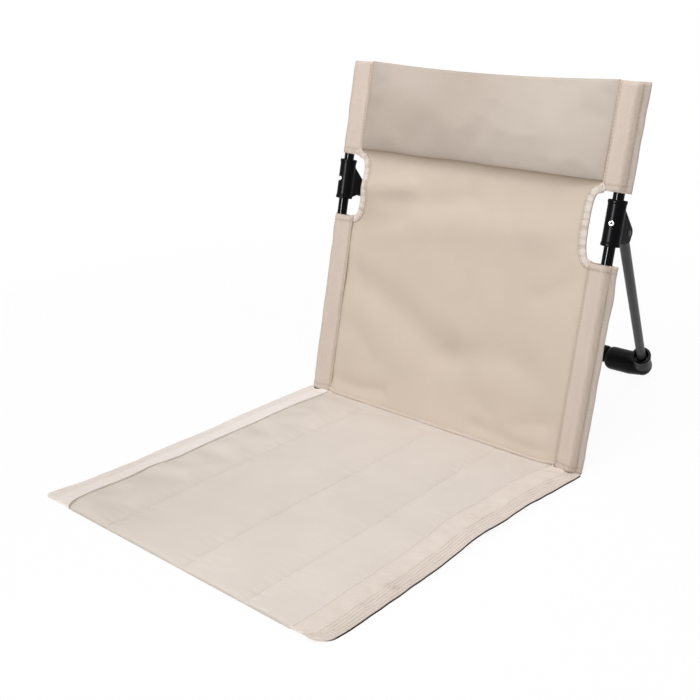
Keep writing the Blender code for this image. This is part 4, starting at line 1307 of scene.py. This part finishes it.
seamDepth = backFoot[1] - 0.0023 - seatLow[1]  # the strips end a little further back


def padEdge(sideName, y):
    # the pad's side, just under its strip
    return sides[sideName] * (seamX - 0.00015 - seamInset(sideName, (y - seatLow[1]) / seamDepth))


def stitchX(line, y):
    front, rear = seatLook["stitches"][line]
    share = (y - seatLow[1]) / seatDepth
    return front + (rear - front) * share + 0.0012 * np.sin(math.tau * (share * 1.4 + 0.3 * line))


def seatTop(x, y):
    look = seatLook
    edges = [padEdge("left", y)] + [stitchX(line, y) for line in range(len(look["stitches"]))]
    edges.append(padEdge("right", y))
    crest = 0 * (x + y)
    nearest = np.full(crest.shape, 1.0)
    for near, far in zip(edges, edges[1:]):
        share = (x - near) / (far - near)
        off = 2 * np.clip(share, 0, 1) - 1
        outer = ((near is edges[0]) & (off < 0)) | ((far is edges[-1]) & (off > 0))
        arch = np.clip(1 - np.abs(off) ** 2.6, 0, 1) ** np.where(outer, 1.0, 0.62)
        crest = np.where((share >= 0) & (share <= 1), arch, crest)
    for edge in edges:
        nearest = np.minimum(nearest, np.abs(x - edge))
    toRear = seatHigh[1] + rollBend(x) - y
    ends = roundOff(y - seatLow[1], look["endRound"])
    crest = crest + (1 - crest) * smoothStep(look["rearRise"], 0, toRear)
    pucker = fade(nearest, 0.012) * look["pucker"] * rumple(0.25 * x, y, look["puckerPitch"], 71)
    left = fade(x - edges[0], 0.032) * (1 - fade(x - edges[0], 0.004))
    ripple = look["sideRipple"] * left * np.sin(math.tau * y / look["ripplePitch"] + 0.8 * np.sin(y * 31))
    loose = look["rumple"] * rumple(x, y, 0.07, 73) - folds(x, y, look["folds"])
    height = look["low"] + look["crown"] * crest * (0.25 + 0.75 * ends)
    height = height + ends * (pucker + ripple + loose * crest)
    height = height + look["rollRise"] * smoothStep(0.010, 0.001, toRear)
    for sideName, edge in (("left", edges[0]), ("right", edges[-1])):
        height = height + seamLift(sideName, (y - seatLow[1]) / seamDepth) * fade(np.abs(x - edge), 0.03)
    return np.maximum(height, look["base"] + 0.0006)


def seatFaces(rows, columns):
    t = np.linspace(0, 1, columns)[None, :]
    v = np.linspace(0, 1, rows)[:, None]
    v = 0.75 * v + 0.25 * (1 - np.cos(math.pi * v)) / 2
    x = seamX * (2 * t - 1) + 0 * v
    for settling in range(2):
        y = seatLow[1] + (seatDepth + rollBend(x)) * v
        left, right = padEdge("left", y), padEdge("right", y)
        x = left + (right - left) * t
    return np.stack((x, y, seatTop(x, y)), -1), np.stack((x, y, seatLook["base"] + 0 * x), -1)


def makeSeatPad():
    look = seatLook
    lines = range(len(look["stitches"]))
    top, under = seatFaces(*look["sewnGrid"])
    x, y = top[..., 0], top[..., 1]
    held = look["sewn"]
    toSide = np.minimum(x - padEdge("left", y), padEdge("right", y) - x)
    sewn = (toSide < held["side"]) | (y - seatLow[1] < held["front"])
    sewn = sewn | (seatHigh[1] + rollBend(x) - y < held["rear"])
    for line in lines:
        sewn = sewn | (np.abs(x - stitchX(line, y)) < held["line"])
    moved = swellPad(top, under, sewn, smoothStep(seatLow[0] + 0.01, seatLow[0] + 0.12, x), look)
    top, under = seatFaces(look["rows"], look["columns"])
    x, y = top[..., 0], top[..., 1]
    top = top + spread(moved, look["rows"], look["columns"])
    top[..., 2] = np.maximum(top[..., 2], look["base"] + 0.0005)
    toLeft, toFront = x - padEdge("left", y), y - seatLow[1]
    # painted shade and shadows on the pad: the left seam gap, front left corner, front edge, near the fold,
    # the front left and the channel lines
    seam = shadeLine(look, "side", toLeft, fade)
    seam = seam + shadeLine(look, "corner", toLeft, fade) * smoothStep(0.10, 0.02, toFront / seamDepth)
    seam = seam + shadeLine(look, "front", toFront, fade) + shadeLine(look, "rear", seatHigh[1] - y, bell)
    seam = seam + look["leftShade"] * smoothStep(0.05, -0.16, x) * smoothStep(-0.16, -0.37, y)
    for line in lines:
        seam = seam + shadeLine(look, "stitches", np.abs(x - stitchX(line, y)), fade)
    piece = makeSheet("seatPad", top, under, "seatCloth", x, y, seam)
    foams = [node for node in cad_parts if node.startswith("seat_foam")]
    return seat(piece, "seat", "panel_cloth", "seat_cover", *foams)


seatPad = makeSeatPad()
print("seat pad is made")


stripLook = {
    "inside": 14,
    "hemColumns": 60,
    "steps": 260,
    "thickness": 0.0016,
    "under": 0.0017,  # room for the dark cloth below
    "innerRise": 0.0007,
    "hem": 0.0150,
    "rows": (0.0020, 0.0050, 0.0080, 0.0110, 0.0140),  # hem stitching, from the edge
    # painted shade, per side: rowShade in the hem's stitch grooves, stronger on the right strip; frontShade
    # toward the front ends; seamShade for the gap at the left seam
    "rowShade": {"left": 0.02, "right": 0.44},
    "lumps": {"left": 0.0003, "right": 0.0009},
    "creases": {"left": (), "right": (((0.194, -0.284), (0.203, -0.281), (0.210, -0.275)),
                                      ((0.178, -0.115), (0.186, -0.117), (0.194, -0.117)))},
    "frontShade": {"left": 0.32, "right": 0.10},
    "creaseRise": 0.0010,
    "creaseWidth": 0.0022,
    # painted shadow beside the creases
    "creaseShade": 0.35,
    # its shade is a painted shadow beside the folded rear end
    "rearFold": {"rise": 0.0009, "width": 0.0016, "shade": 0.5, "shadeWidth": 0.0007},  # the folded rear end
    "press": 0.0005,
    "pressWidth": 0.0008,
    "mottle": 0.07,
    "corner": {"left": 0.008, "right": 0.016},
    "plugRoom": 0.0076,
    "rearGap": 0.0021,
    "rearTurn": 0.0022,
    "edgeRumple": 0.0004,
    "lie": 0.0002,  # how unevenly it lies on the ground
    "seamShade": {"left": 0.3, "right": 0.0},
    # share from the front to the rear, edge outward and edge upward
    "edge": {
        "left": ((0, -0.0010, 0), (0.06, -0.0045, 0), (0.1, -0.0075, 0), (0.2, -0.0085, 0.0003),
                 (0.28, -0.0090, 0), (0.33, -0.0075, 0), (0.39, -0.0055, 0), (0.46, -0.0072, 0.0004),
                 (0.57, -0.0066, 0), (0.62, -0.0032, 0), (0.77, -0.0016, 0.0003), (0.9, -0.0008, 0),
                 (1, -0.0006, 0)),
        "right": ((0, 0.0036, 0), (0.06, 0.0052, 0), (0.14, 0.0048, 0.0001), (0.2, 0.0036, 0.0002),
                  (0.3, 0.0026, 0.0005), (0.36, 0.0026, 0.0012), (0.4, 0.0020, 0.0018),
                  (0.48, 0.0001, 0.0036), (0.56, -0.0016, 0.0056), (0.65, -0.0002, 0.0042),
                  (0.7, -0.0014, 0.0046), (0.75, -0.0005, 0.0050), (0.84, 0.0007, 0.0036),
                  (0.92, 0.0010, 0.0020), (1, 0.0012, 0.0003)),
    },
}


stripInner = seamX - seamLook["overlap"]


def stripEdge(sideName, share):
    table = np.array(stripLook["edge"][sideName])
    return [smoothCurve(table[:, (0, column)], share, 60) for column in (1, 2)]


def stripPlace(sideName, sign, inner, across, share, follow=True):
    # x, y and the lift of the strip's underside
    if follow:
        inner = inner - seamInset(sideName, share)
    place = inner + (edgeX - inner) * across
    plug = np.sqrt(np.clip(stripLook["plugRoom"] ** 2 - (place - uprightX) ** 2, 0, None))
    outside = smoothStep(uprightX, edgeX, place)
    # the rear end goes round the plug
    rearY = backFoot[1] - np.maximum(plug, stripLook["rearGap"]) - 0.0002 + stripLook["rearTurn"] * outside
    y = seatLow[1] + (rearY - seatLow[1]) * share
    corner = stripLook["corner"][sideName]
    into = np.clip(1 - (y - seatLow[1]) / corner, 0, 1)
    outward, upward = stripEdge(sideName, share)
    outer = edgeX - corner * (1 - np.sqrt(1 - into ** 2)) + outward
    outer = outer + stripLook["edgeRumple"] * rumple(0 * share, share, 0.10, 81 + sign)
    x = inner + (outer - inner) * across
    lift = upward * across ** 1.7
    if follow:
        lift = lift + seamLift(sideName, share) * (1 - across) ** 2
    lift = lift + stripLook["lie"] * across * (1 + rumple(x, y, 0.03, 83 + sign))
    return sign * x, y, lift


def makeStrip(sideName, sign):
    look = stripLook
    width = edgeX - seamX
    hemStart = 1 - 1.2 * look["hem"] / width
    across = np.concatenate((np.linspace(0, hemStart, look["inside"], endpoint=False),
                             np.linspace(hemStart, 1, look["hemColumns"])))[None, :]
    share = np.linspace(0, 1, look["steps"])[:, None]
    share = 0.8 * share + 0.2 * (1 - np.cos(math.pi * share)) / 2
    x, y, lift = stripPlace(sideName, sign, stripInner, across, share)
    out = np.abs(x)
    lump = 1 + rumple(1.3 * x, y, 0.030, 87 + sign)
    lift = lift + look["lumps"][sideName] * np.clip(lump, 0, 2) * 4 * across * (1 - across)
    toEdge = (1 - across) * width
    thick = look["thickness"] + look["innerRise"] * np.exp(-across * 12) + 0 * y
    # painted shade: the left seam gap, the darker front ends, the hem's stitch grooves, beside the creases
    # and at the folded rear end; the mottle is random tone
    seam = look["seamShade"][sideName] * fade(across * width, 0.0012) + 0 * y
    seam = seam + look["frontShade"][sideName] * smoothStep(0.60, 0.10, share)
    for number, row in enumerate(look["rows"]):  # stitching presses the hem down
        line = bell(toEdge - row, look["pressWidth"])
        thick = thick - look["press"] * line
        drawn = np.clip(0.6 + 0.5 * rumple(share, 0 * share, 0.12, 91 + number), 0.15, 1)
        seam = seam + look["rowShade"][sideName] * drawn * line
    for crease in look["creases"][sideName]:
        thick = thick + look["creaseRise"] * bell(lineDistance(out, y, crease), look["creaseWidth"])
        seam = seam + look["creaseShade"] * bell(lineDistance(out, y + 0.003, crease), look["creaseWidth"])
    seam = seam + look["mottle"] * rumple(x, y, 0.007, 95 + sign)
    fall = roundOff(np.minimum(np.minimum(toEdge, across * width), y - seatLow[1]), 0.0012, 0.1)
    end = [(seamX - 0.002, seatHigh[1] - 0.012), (uprightX, seatHigh[1] - 0.0085),
           (edgeX - 0.004, seatHigh[1] - 0.003)]
    folded = look["rearFold"]
    thick = thick + folded["rise"] * bell(lineDistance(out, y, end), folded["width"])
    seam = seam + folded["shade"] * bell(lineDistance(out, y + 0.0016, end), folded["shadeWidth"])
    middle = look["under"] + lift + thick / 2
    half = thick / 2 * fall
    top, under = (np.stack(np.broadcast_arrays(x, y, middle + face * half), -1) for face in (1, -1))
    piece = makeSheet("seatStrip" + sideName.title(), top, under, sideName + "StripCloth", x, y, seam)
    return seat(piece, "seat", "edge_cloth", "seat_strip_" + sideName)


strips = {sideName: makeStrip(sideName, sign) for sideName, sign in sides.items()}
print("seat strips are made")


underLook = {
    "rows": 150,
    "columns": 60,
    "sideColumns": 44,  # closer together, for the cut round the plugs
    "thickness": 0.0016,
    "inset": {"left": 0.004, "right": 0.0002},
    "front": 0.004,
}


def makeUnderCloth():
    # the dark cloth under the whole seat, edges following the strips
    look = underLook
    share = np.linspace(0, 1, look["rows"])[:, None]
    side = np.linspace(stripInner / edgeX, 1, look["sideColumns"])
    middle = np.linspace(-side[0], side[0], look["columns"])[1:-1]
    t = np.concatenate((-side[::-1], middle, side))[None, :]
    x, y, lift = (np.zeros((look["rows"], t.shape[1])) for axis in range(3))
    for sideName, sign in sides.items():
        mine = t[0] * sign >= 0
        place = np.abs(t[:, mine]) * edgeX
        across = np.clip((place - stripInner) / (edgeX - stripInner), 0, 1)
        outer = place > stripInner
        stripX, stripY, stripLift = stripPlace(sideName, sign, stripInner, across, share, follow=False)
        x[:, mine] = np.where(outer, stripX - sign * look["inset"][sideName] * across, sign * place)
        y[:, mine] = np.where(outer, stripY, seatLow[1] + (seatDepth + rollBend(place)) * share)
        y[:, mine] += look["front"] * (1 - share) ** 8
        lift[:, mine] = np.where(outer, stripLift, 0)
    under, top = (np.stack((x, y, lift + thick), -1) for thick in (0, look["thickness"]))
    piece = makeSheet("seatUnderCloth", top, under, "underCloth", x, y)
    return seat(piece, "seat", "base_cloth", "seat_base")


underCloth = makeUnderCloth()


# Stitching: short threads laid on the cloth

stitchLook = {
    "pitch": 0.0040,
    "length": 0.0028,
    "radius": 0.00028,
    "around": 6,
    "clear": 0.06,  # rows are cast from this far off the cloth
    # along, up and size
    "rings": ((0, -0.5, 0.7), (0.2, 0.45, 1), (0.5, 0.75, 1), (0.8, 0.45, 1), (1, -0.5, 0.7)),
}


def pieceTree(pieces):
    points, faces = [], []
    for piece in pieces:
        start = len(points)
        points += [vertex.co.copy() for vertex in piece.data.vertices]
        faces += [[corner + start for corner in face.vertices] for face in piece.data.polygons]
    return BVHTree.FromPolygons(points, faces)


def stitchRow(tree, path, direction):
    # path of points clear of the cloth; each stitch is cast onto it
    path = np.asarray(path, float)
    length = alongPath(path)
    count = int(length[-1] / stitchLook["pitch"])
    shapes = []
    turn = np.linspace(0, math.tau, stitchLook["around"], endpoint=False)
    direction = Vector(direction)
    for number in range(count):
        middle = (number + 0.5) * length[-1] / count
        ends = []
        for offset in (-0.5, 0.5):
            at = middle + offset * stitchLook["length"]
            start = Vector([np.interp(at, length, path[:, axis]) for axis in range(3)])
            hit, normal = tree.ray_cast(start, direction, 2 * stitchLook["clear"])[:2]
            if hit is not None:
                ends.append((np.array(hit), np.array(normal)))
        if len(ends) < 2:
            continue
        (first, firstUp), (second, secondUp) = ends
        run = second - first
        reach = np.linalg.norm(run)
        if reach > 1.6 * stitchLook["length"] or reach < 0.3 * stitchLook["length"]:
            continue
        up = firstUp + secondUp
        if np.dot(up, np.array(direction)) > 0:
            up = -up
        up /= np.linalg.norm(up)
        aside = np.cross(run / reach, up)
        rings = []
        for share, lift, size in stitchLook["rings"]:
            centre = first + run * share + up * lift * stitchLook["radius"]
            rings.append(centre + stitchLook["radius"] * size * (
                np.cos(turn)[:, None] * aside + np.sin(turn)[:, None] * up))
        shapes.append(loftShape(rings))
    return shapes


def backRow(tree, points, face=-1):
    # stitches on the front of the back, or on its rear
    path = [fromBack(x, face * stitchLook["clear"], up) for x, up in points]
    return stitchRow(tree, path, -face * backRear)


def seatRow(tree, x, y, face=1):
    # stitches on the top of the seat, or on its underside
    return stitchRow(tree, np.stack((x, y, 0 * y + face * stitchLook["clear"]), -1), (0, 0, -face))


def stripRow(tree, sideName, across, start, end, face=1):
    share = np.linspace(start, end, 200)
    x, y = stripPlace(sideName, sides[sideName], stripInner, across + 0 * share, share, face > 0)[:2]
    return seatRow(tree, x, y, face)


backRows = {
    "seam": 0.0022,  # outside the seam
    "edge": 0.0050,  # inside the edge
    "low": 0.002,
    "high": 0.003,
    "hemSeam": 0.003,
    "hemEdge": 0.0055,
    "notch": 0.0072,  # round the notch, from its edge
    "top": 0.004,
}
seatRows = {
    "front": 0.004,
    "rear": 0.002,
    "fold": 0.003,
    "leftSeam": (0.022, 0.004, 0.985),  # place across, start and end
    "rightSeam": (0.05, 0.004, 0.96),
    "hem": (0.012, 0.99),
    "under": (0.02, 0.98),
    "underHem": 0.0085,
    "underSeam": 0.0016,
}


def makeBackStitching():
    tree = pieceTree([backPanel, headrestPad, *pockets.values(), *tapes.values()])
    inset = pocketLook["hem"] - pocketLook["hemRow"]
    shapes = []
    for sign in sides.values():
        for low, high, hems in ((lowerLow[2], lowerHigh[2], 2), (upperLow[2], upperHigh[2], 1)):
            rows = [[(sign * x, low + backRows["low"]), (sign * x, high - backRows["high"])]
                    for x in (seamX + backRows["seam"], edgeX - backRows["edge"])]
            rows += [[(sign * (seamX + backRows["hemSeam"]), up), (sign * (edgeX - backRows["hemEdge"]), up)]
                     for up in (low + inset, high - inset)[:hems]]
            for row in rows:
                shapes += backRow(tree, row) + backRow(tree, row, 1)
        depths, heights = notchLine(backRows["notch"], 0.10, 120)
        shapes += backRow(tree, zip(sign * (seamX - depths), heights))
    across = np.linspace(-seamX + backRows["top"], seamX - backRows["top"], 80)
    shapes += backRow(tree, [(x, panelTop(x) - backLook["hem"] + backLook["hemStep"]) for x in across], 1)
    print("stitches on the back:", len(shapes))
    piece = makePiece("backStitching", joinShapes(shapes), "sewingThread")
    return seat(piece, "backrest", "edge_cloth")


def makeSeatStitching():
    tree = pieceTree([seatPad, *strips.values()])
    below = pieceTree([underCloth])
    width = edgeX - seamX
    y = np.linspace(seatLow[1] + seatRows["front"], seatHigh[1] - seatRows["rear"], 120)
    pale, dark = [], []
    for line in range(len(seatLook["stitches"])):
        pale += seatRow(tree, stitchX(line, y), y)
        dark += seatRow(below, stitchX(line, y), y, -1)
    pale += stripRow(tree, "right", *seatRows["rightSeam"])
    for sideName in sides:
        for row in stripLook["rows"]:
            pale += stripRow(tree, sideName, 1 - row / width, *seatRows["hem"])
        for row in (seatRows["underHem"], width - seatRows["underSeam"]):
            dark += stripRow(below, sideName, 1 - row / width, *seatRows["under"], -1)
    x = np.linspace(seatLow[0] + seatRows["fold"], seatHigh[0] - seatRows["fold"], 60)
    pale += seatRow(tree, x, 0 * x + seatHigh[1] - seatRows["fold"])
    # the left seam's stitches are dark thread, painted shade of the gap beside the strip; the right seam's
    # are pale
    seam = stripRow(tree, "left", *seatRows["leftSeam"])
    print("stitches on the seat:", len(pale), "pale and", len(dark), "dark")
    for name, shapes, finish in (("seatStitching", pale, "paleThread"), ("seamStitching", seam, "shadowedSeamThread"),
                                 ("underStitching", dark, "sewingThread")):
        seat(makePiece(name, joinShapes(shapes), finish), "seat", "edge_cloth")


backStitching = makeBackStitching()
makeSeatStitching()


# Tubes and fittings

tubeLook = {"wall": 0.0012}


def makeTube(name, node, body, finish, slot):
    start, end, unit, radius = tubeEnds(node)
    length, inner = np.linalg.norm(end - start), radius - tubeLook["wall"]
    profile = [(radius, 0), (radius, length), (inner, length), (inner, 0)]
    piece = makePiece(name, hoopShape(profile, start, unit), finish, sharp=40)
    return seat(piece, body, slot, node)


for sideName in sides:
    makeTube("upright" + sideName.title(), "upright_" + sideName, "backrest", "glossBlack", "black_tube")
    makeTube("leg" + sideName.title(), "leg_" + sideName, "stand", "satinGrey", "grey_tube")
makeTube("crossbar", "crossbar", "stand", "glossBlack", "black_tube")
print("tubes are made")


sleeveLook = {
    "voxel": 0.00045,
    "rounds": 9,
    "rim": 0.0005,  # the ends stand out a little
    "rimHeight": 0.0036,
    "rimEdge": 0.0008,
    "waist": 0.0001,
    "slope": 0.001,
    "lugRoot": 0.005,
    "lugWidth": 0.0166,
    "slot": 0.0087,
    "lugTopStep": 0.0085,
    "lugBottomStep": 0.002,
    "boreRoom": 0.0002,
}
pivotBack = (pinLow + pinHigh) / 2
pivotBack[0] = 0


def makeSleeve(sideName, sign):
    centre = sign * uprightX
    radius = (sleeveHigh[0] - sleeveLow[0]) / 2
    bottom, top = sleeveLow[2], sleeveHigh[2]
    rim, rimHeight = sleeveLook["rim"], sleeveLook["rimHeight"]
    wide, edge = radius + rim, sleeveLook["rimEdge"]
    waist, slope = radius - sleeveLook["waist"], sleeveLook["slope"]
    profile = [(0, bottom), (wide - edge, bottom), (wide, bottom + edge), (wide, bottom + rimHeight),
               (waist, bottom + rimHeight + slope), (waist, top - rimHeight - slope), (wide, top - rimHeight),
               (wide, top - edge), (wide - edge, top), (0, top)]
    axisStart = fromBack(centre, 0, 0)
    shapes = [turnedShape(profile, axisStart, backUp, 96)]
    lugRadius = sleeveHigh[1] - pivotBack[1]
    outline = arc(pivotBack[1:], (lugRadius, lugRadius), 0, math.tau * 47 / 48, 48)
    root = sleeveLook["lugRoot"]
    outline += [(root, top - sleeveLook["lugTopStep"]), (root, bottom + sleeveLook["lugBottomStep"])]
    outline = hullOutline(outline)
    ring = np.array([fromBack(centre, rear, up) for rear, up in outline])
    for inner, outer in ((sleeveLook["slot"] / 2, sleeveLook["lugWidth"] / 2),
                         (-sleeveLook["lugWidth"] / 2, -sleeveLook["slot"] / 2)):
        shapes.append(plateShape(ring, centre + inner, centre + outer))
    bore = tubeRadius + sleeveLook["boreRoom"]
    cut = turnedShape([(bore, bottom - 0.01), (bore, top + 0.01)], axisStart, backUp, 72)
    piece = makeMoulded("hingeSleeve" + sideName.title(), joinShapes(shapes), "mouldedBlack",
                        sleeveLook["voxel"], sleeveLook["rounds"], [cut])
    return seat(piece, "backrest", "black_plastic", "hinge_sleeve_" + sideName)


pinLook = {"radius": 0.0025, "head": 0.0036, "crown": 0.0009}


def makePin(sideName):
    low, high = (np.array(corner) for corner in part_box("hinge_pin_" + sideName))
    middle = (low + high) / 2
    start = np.array((low[0], middle[1], middle[2]))
    run = high[0] - low[0]
    radius = pinLook["radius"]
    dome = arc((0, 0), (pinLook["head"], pinLook["crown"]), 0, quarter, 8)
    profile = [(wide, -high) for wide, high in reversed(dome)] + [(radius, 0), (radius, run)]
    profile += [(wide, run + high) for wide, high in dome]
    shape = turnedShape(profile, start, (1, 0, 0), 48)
    piece = makePiece("hingePin" + sideName.title(), shape, "darkSteel", sharp=40)
    return seat(piece, "backrest", "dark_steel", "hinge_pin_" + sideName)


rivetLook = {"head": 0.0030, "height": 0.0012, "edge": 0.0004, "slope": 0.0003, "lip": 0.0021, "eye": 0.0012,
             "eyeDepth": 0.0010, "stem": 0.003, "sink": 0.0004}


def makeRivet(sideName, sign):
    points = toBack(nodePoints("sleeve_rivet_" + sideName))
    middle = np.array((sign * uprightX, 0, (points[:, 2].min() + points[:, 2].max()) / 2))
    flat = points[:, :2] - middle[:2]
    far = flat[np.linalg.norm(flat, axis=1) > np.linalg.norm(flat, axis=1).max() - 0.0006].mean(0)
    outward = far / np.linalg.norm(far)
    direction = outward[0] * np.array((1, 0, 0)) + outward[1] * backRear
    look = rivetLook
    base = (sleeveHigh[0] - sleeveLow[0]) / 2 - look["sink"]
    lip, head, eye, edge, slope = (look[size] for size in ("lip", "head", "eye", "edge", "slope"))
    floor, foot = base + look["height"] - look["eyeDepth"], base - look["stem"]
    profile = [(0, foot), (eye, foot), (head - slope, base), (head, base + slope)]
    profile += arc((lip, base + edge), (head - lip, look["height"] - edge), 0, quarter, 8)
    profile += arc((lip, floor), (lip - eye, look["eyeDepth"]), quarter, math.pi, 6)
    profile.append((0, floor))
    start = fromBack(middle[0], 0, middle[2])
    shape = turnedShape(profile, start, direction, 56)
    piece = makePiece("sleeveRivet" + sideName.title(), shape, "brightSteel", sharp=50)
    # the eye's inside takes the dark steel finish, painted shade in the hole
    piece.data.materials.append(finishes["darkSteel"])
    for face in piece.data.polygons:  # the eye is dark inside
        offset = np.array(face.center) - start
        height = offset @ direction
        if np.linalg.norm(offset - height * direction) < eye and height > base:
            face.material_index = 1
    return seat(piece, "backrest", "bright_steel", "sleeve_rivet_" + sideName)


knuckleLook = {
    "radius": 0.0064,
    "thickness": 0.0079,
    "tongue": 0.011,
    "shoulder": 0.0065,
    "shoulderStart": 0.0113,
    "shoulderEnd": 0.0167,
    "voxel": 0.0004,
    "rounds": 5,
}


def makeKnuckle(sideName):
    # end of the leg between the lug's cheeks
    look = knuckleLook
    pivot = np.array(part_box("hinge_pin_" + sideName)).mean(0)
    down = -tubeEnds("leg_" + sideName)[2]
    flat = np.array((0, down[1], down[2]))
    flat /= np.linalg.norm(flat)
    outline = []
    for shift in (0, look["tongue"]):
        middle = pivot + flat * shift
        outline += arc(middle[1:], (look["radius"], look["radius"]), 0, math.tau * 39 / 40, 40)
    ring = np.array([(pivot[0], y, z) for y, z in hullOutline(outline)])
    half = look["thickness"] / 2
    shoulder, first, last = look["shoulder"], look["shoulderStart"], look["shoulderEnd"]
    profile = [(0, first), (shoulder - 0.001, first), (shoulder, first + 0.001), (shoulder, last), (0, last)]
    shapes = [plateShape(ring, pivot[0] - half, pivot[0] + half), turnedShape(profile, pivot, down)]
    piece = makeMoulded("legKnuckle" + sideName.title(), joinShapes(shapes), "mouldedBlack", look["voxel"],
                        look["rounds"])
    return seat(piece, "stand", "black_plastic", "leg_knuckle_" + sideName)


footLook = {
    "barrel": 0.0165,
    "flat": 0.0007,  # cut off below, where it stands
    "length": 0.054,
    "tip": 0.008,
    "tipInset": 0.005,
    "dome": 0.0125,
    "domeRadius": 0.0140,
    "domeStart": 0.018,
    "cup": 0.0122,
    "cupLength": 0.035,
    "cupStart": -0.004,
    "mouth": 0.0092,
    "mouthDepth": 0.012,
    "rim": 0.0132,
    "rimHeight": 0.004,
    "barRise": 0.0035,
    "barDepth": 0.022,
    "voxel": 0.0006,
    "rounds": 14,
}
collarLook = {"radius": 0.01225, "width": 0.012, "gap": 0.0003, "round": 0.003, "bore": 0.0062}


def makeFoot(sideName, sign):
    # foot with its cup for the leg, and the collar on the crossbar beside it
    look = footLook
    legUp, legRadius = tubeEnds("leg_" + sideName)[2:]
    low, high = (np.array(corner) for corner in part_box("foot_" + sideName))
    inner = min(abs(low[0]), abs(high[0])) * sign
    barrel, length = look["barrel"], look["length"]
    centre = np.array((inner, high[1] - barrel, low[2] + barrel - look["flat"]))
    outward = np.array((sign, 0, 0))
    inset, tip = look["tipInset"], look["tip"]
    profile = [(0, 0)] + arc((barrel - inset, tip), (inset, tip), -quarter, 0, 10)
    profile.append((barrel, length - look["domeStart"]))
    profile += arc((0, length), (look["domeRadius"], look["dome"]), 0, quarter, 14)
    legFoot = centre + outward * length
    cup, rim, mouth = look["cup"], look["rim"], look["mouth"]
    end, start = look["cupLength"], look["cupStart"]
    rimStart, mouthStart = end - look["rimHeight"], end - look["mouthDepth"]
    cupProfile = [(0, start), (cup, start), (cup, rimStart - 0.001), (rim, rimStart), (rim, end - 0.001),
                  (rim - 0.001, end), (0, end)]
    shapes = [turnedShape(profile, centre, outward, 96), turnedShape(cupProfile, legFoot, legUp, 96)]
    mouthProfile = [(0, mouthStart), (mouth - 0.001, mouthStart), (mouth, mouthStart + 0.002),
                    (mouth, end - 0.001), (mouth + 0.0015, end + 0.0008), (mouth + 0.0015, end + 0.01)]
    barStart = centre + np.array((0, 0, look["barRise"]))
    bore = legRadius + 0.0002
    cuts = [turnedShape(mouthProfile, legFoot, legUp),
            turnedShape([(bore, -0.01), (bore, look["barDepth"] + 0.0003)], barStart, outward)]
    ground = [(0, centre[1] + y, low[2] + z)
              for y, z in ((-0.05, -0.01), (0.05, -0.01), (0.05, 0), (-0.05, 0))]
    cuts.append(plateShape(ground, inner - sign * 0.02, inner + sign * 0.1))
    foot = makeMoulded("foot" + sideName.title(), joinShapes(shapes), "footBlack", look["voxel"],
                       look["rounds"], cuts)
    seat(foot, "stand", "black_plastic", "foot_" + sideName)

    look = collarLook
    bend, near, far = look["round"], look["gap"], look["width"]
    out = look["radius"] - bend
    profile = [(look["bore"], near), (out, near)]
    profile += arc((out, near + bend), (bend, bend), -quarter, 0, 8)
    profile += arc((out, far - bend), (bend, bend), 0, quarter, 8)
    profile.append((look["bore"], far))
    shape = hoopShape(profile, barStart, -outward, 64)
    collar = makePiece("crossbarCollar" + sideName.title(), shape, "mouldedBlack", sharp=40)
    seat(collar, "stand", "black_plastic", "crossbar_collar_" + sideName)


topPlugLook = {"depth": 0.012, "stem": 0.0046, "head": 0.0059, "height": 0.0011, "round": 0.0007}


def makeTopPlug(sideName):
    # low plug in the tube's upper end, under the closed pocket
    look = topPlugLook
    end, unit = tubeEnds("upright_" + sideName)[1:3]
    bend, head, height = look["round"], look["head"], look["height"]
    profile = [(0, -look["depth"]), (look["stem"], -look["depth"]), (look["stem"], 0.0001), (head, 0.0001)]
    profile += arc((head - bend, height - bend), (bend, bend), 0, quarter, 6)
    profile.append((0, height))
    shape = turnedShape(profile, end, unit, 48)
    piece = makePiece("topPlug" + sideName.title(), shape, "mouldedBlack", sharp=40)
    return seat(piece, "backrest", "black_plastic", "upright_top_cap_" + sideName)


for sideName, sign in sides.items():
    makeSleeve(sideName, sign)
    makePin(sideName)
    makeRivet(sideName, sign)
    makeKnuckle(sideName)
    makeFoot(sideName, sign)
    makeTopPlug(sideName)
    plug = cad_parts["upright_foot_cap_" + sideName]  # the foot plugs keep their frame shape
    plug.data.materials.clear()
    plug.data.materials.append(finishes["mouldedBlack"])
print("fittings are made")
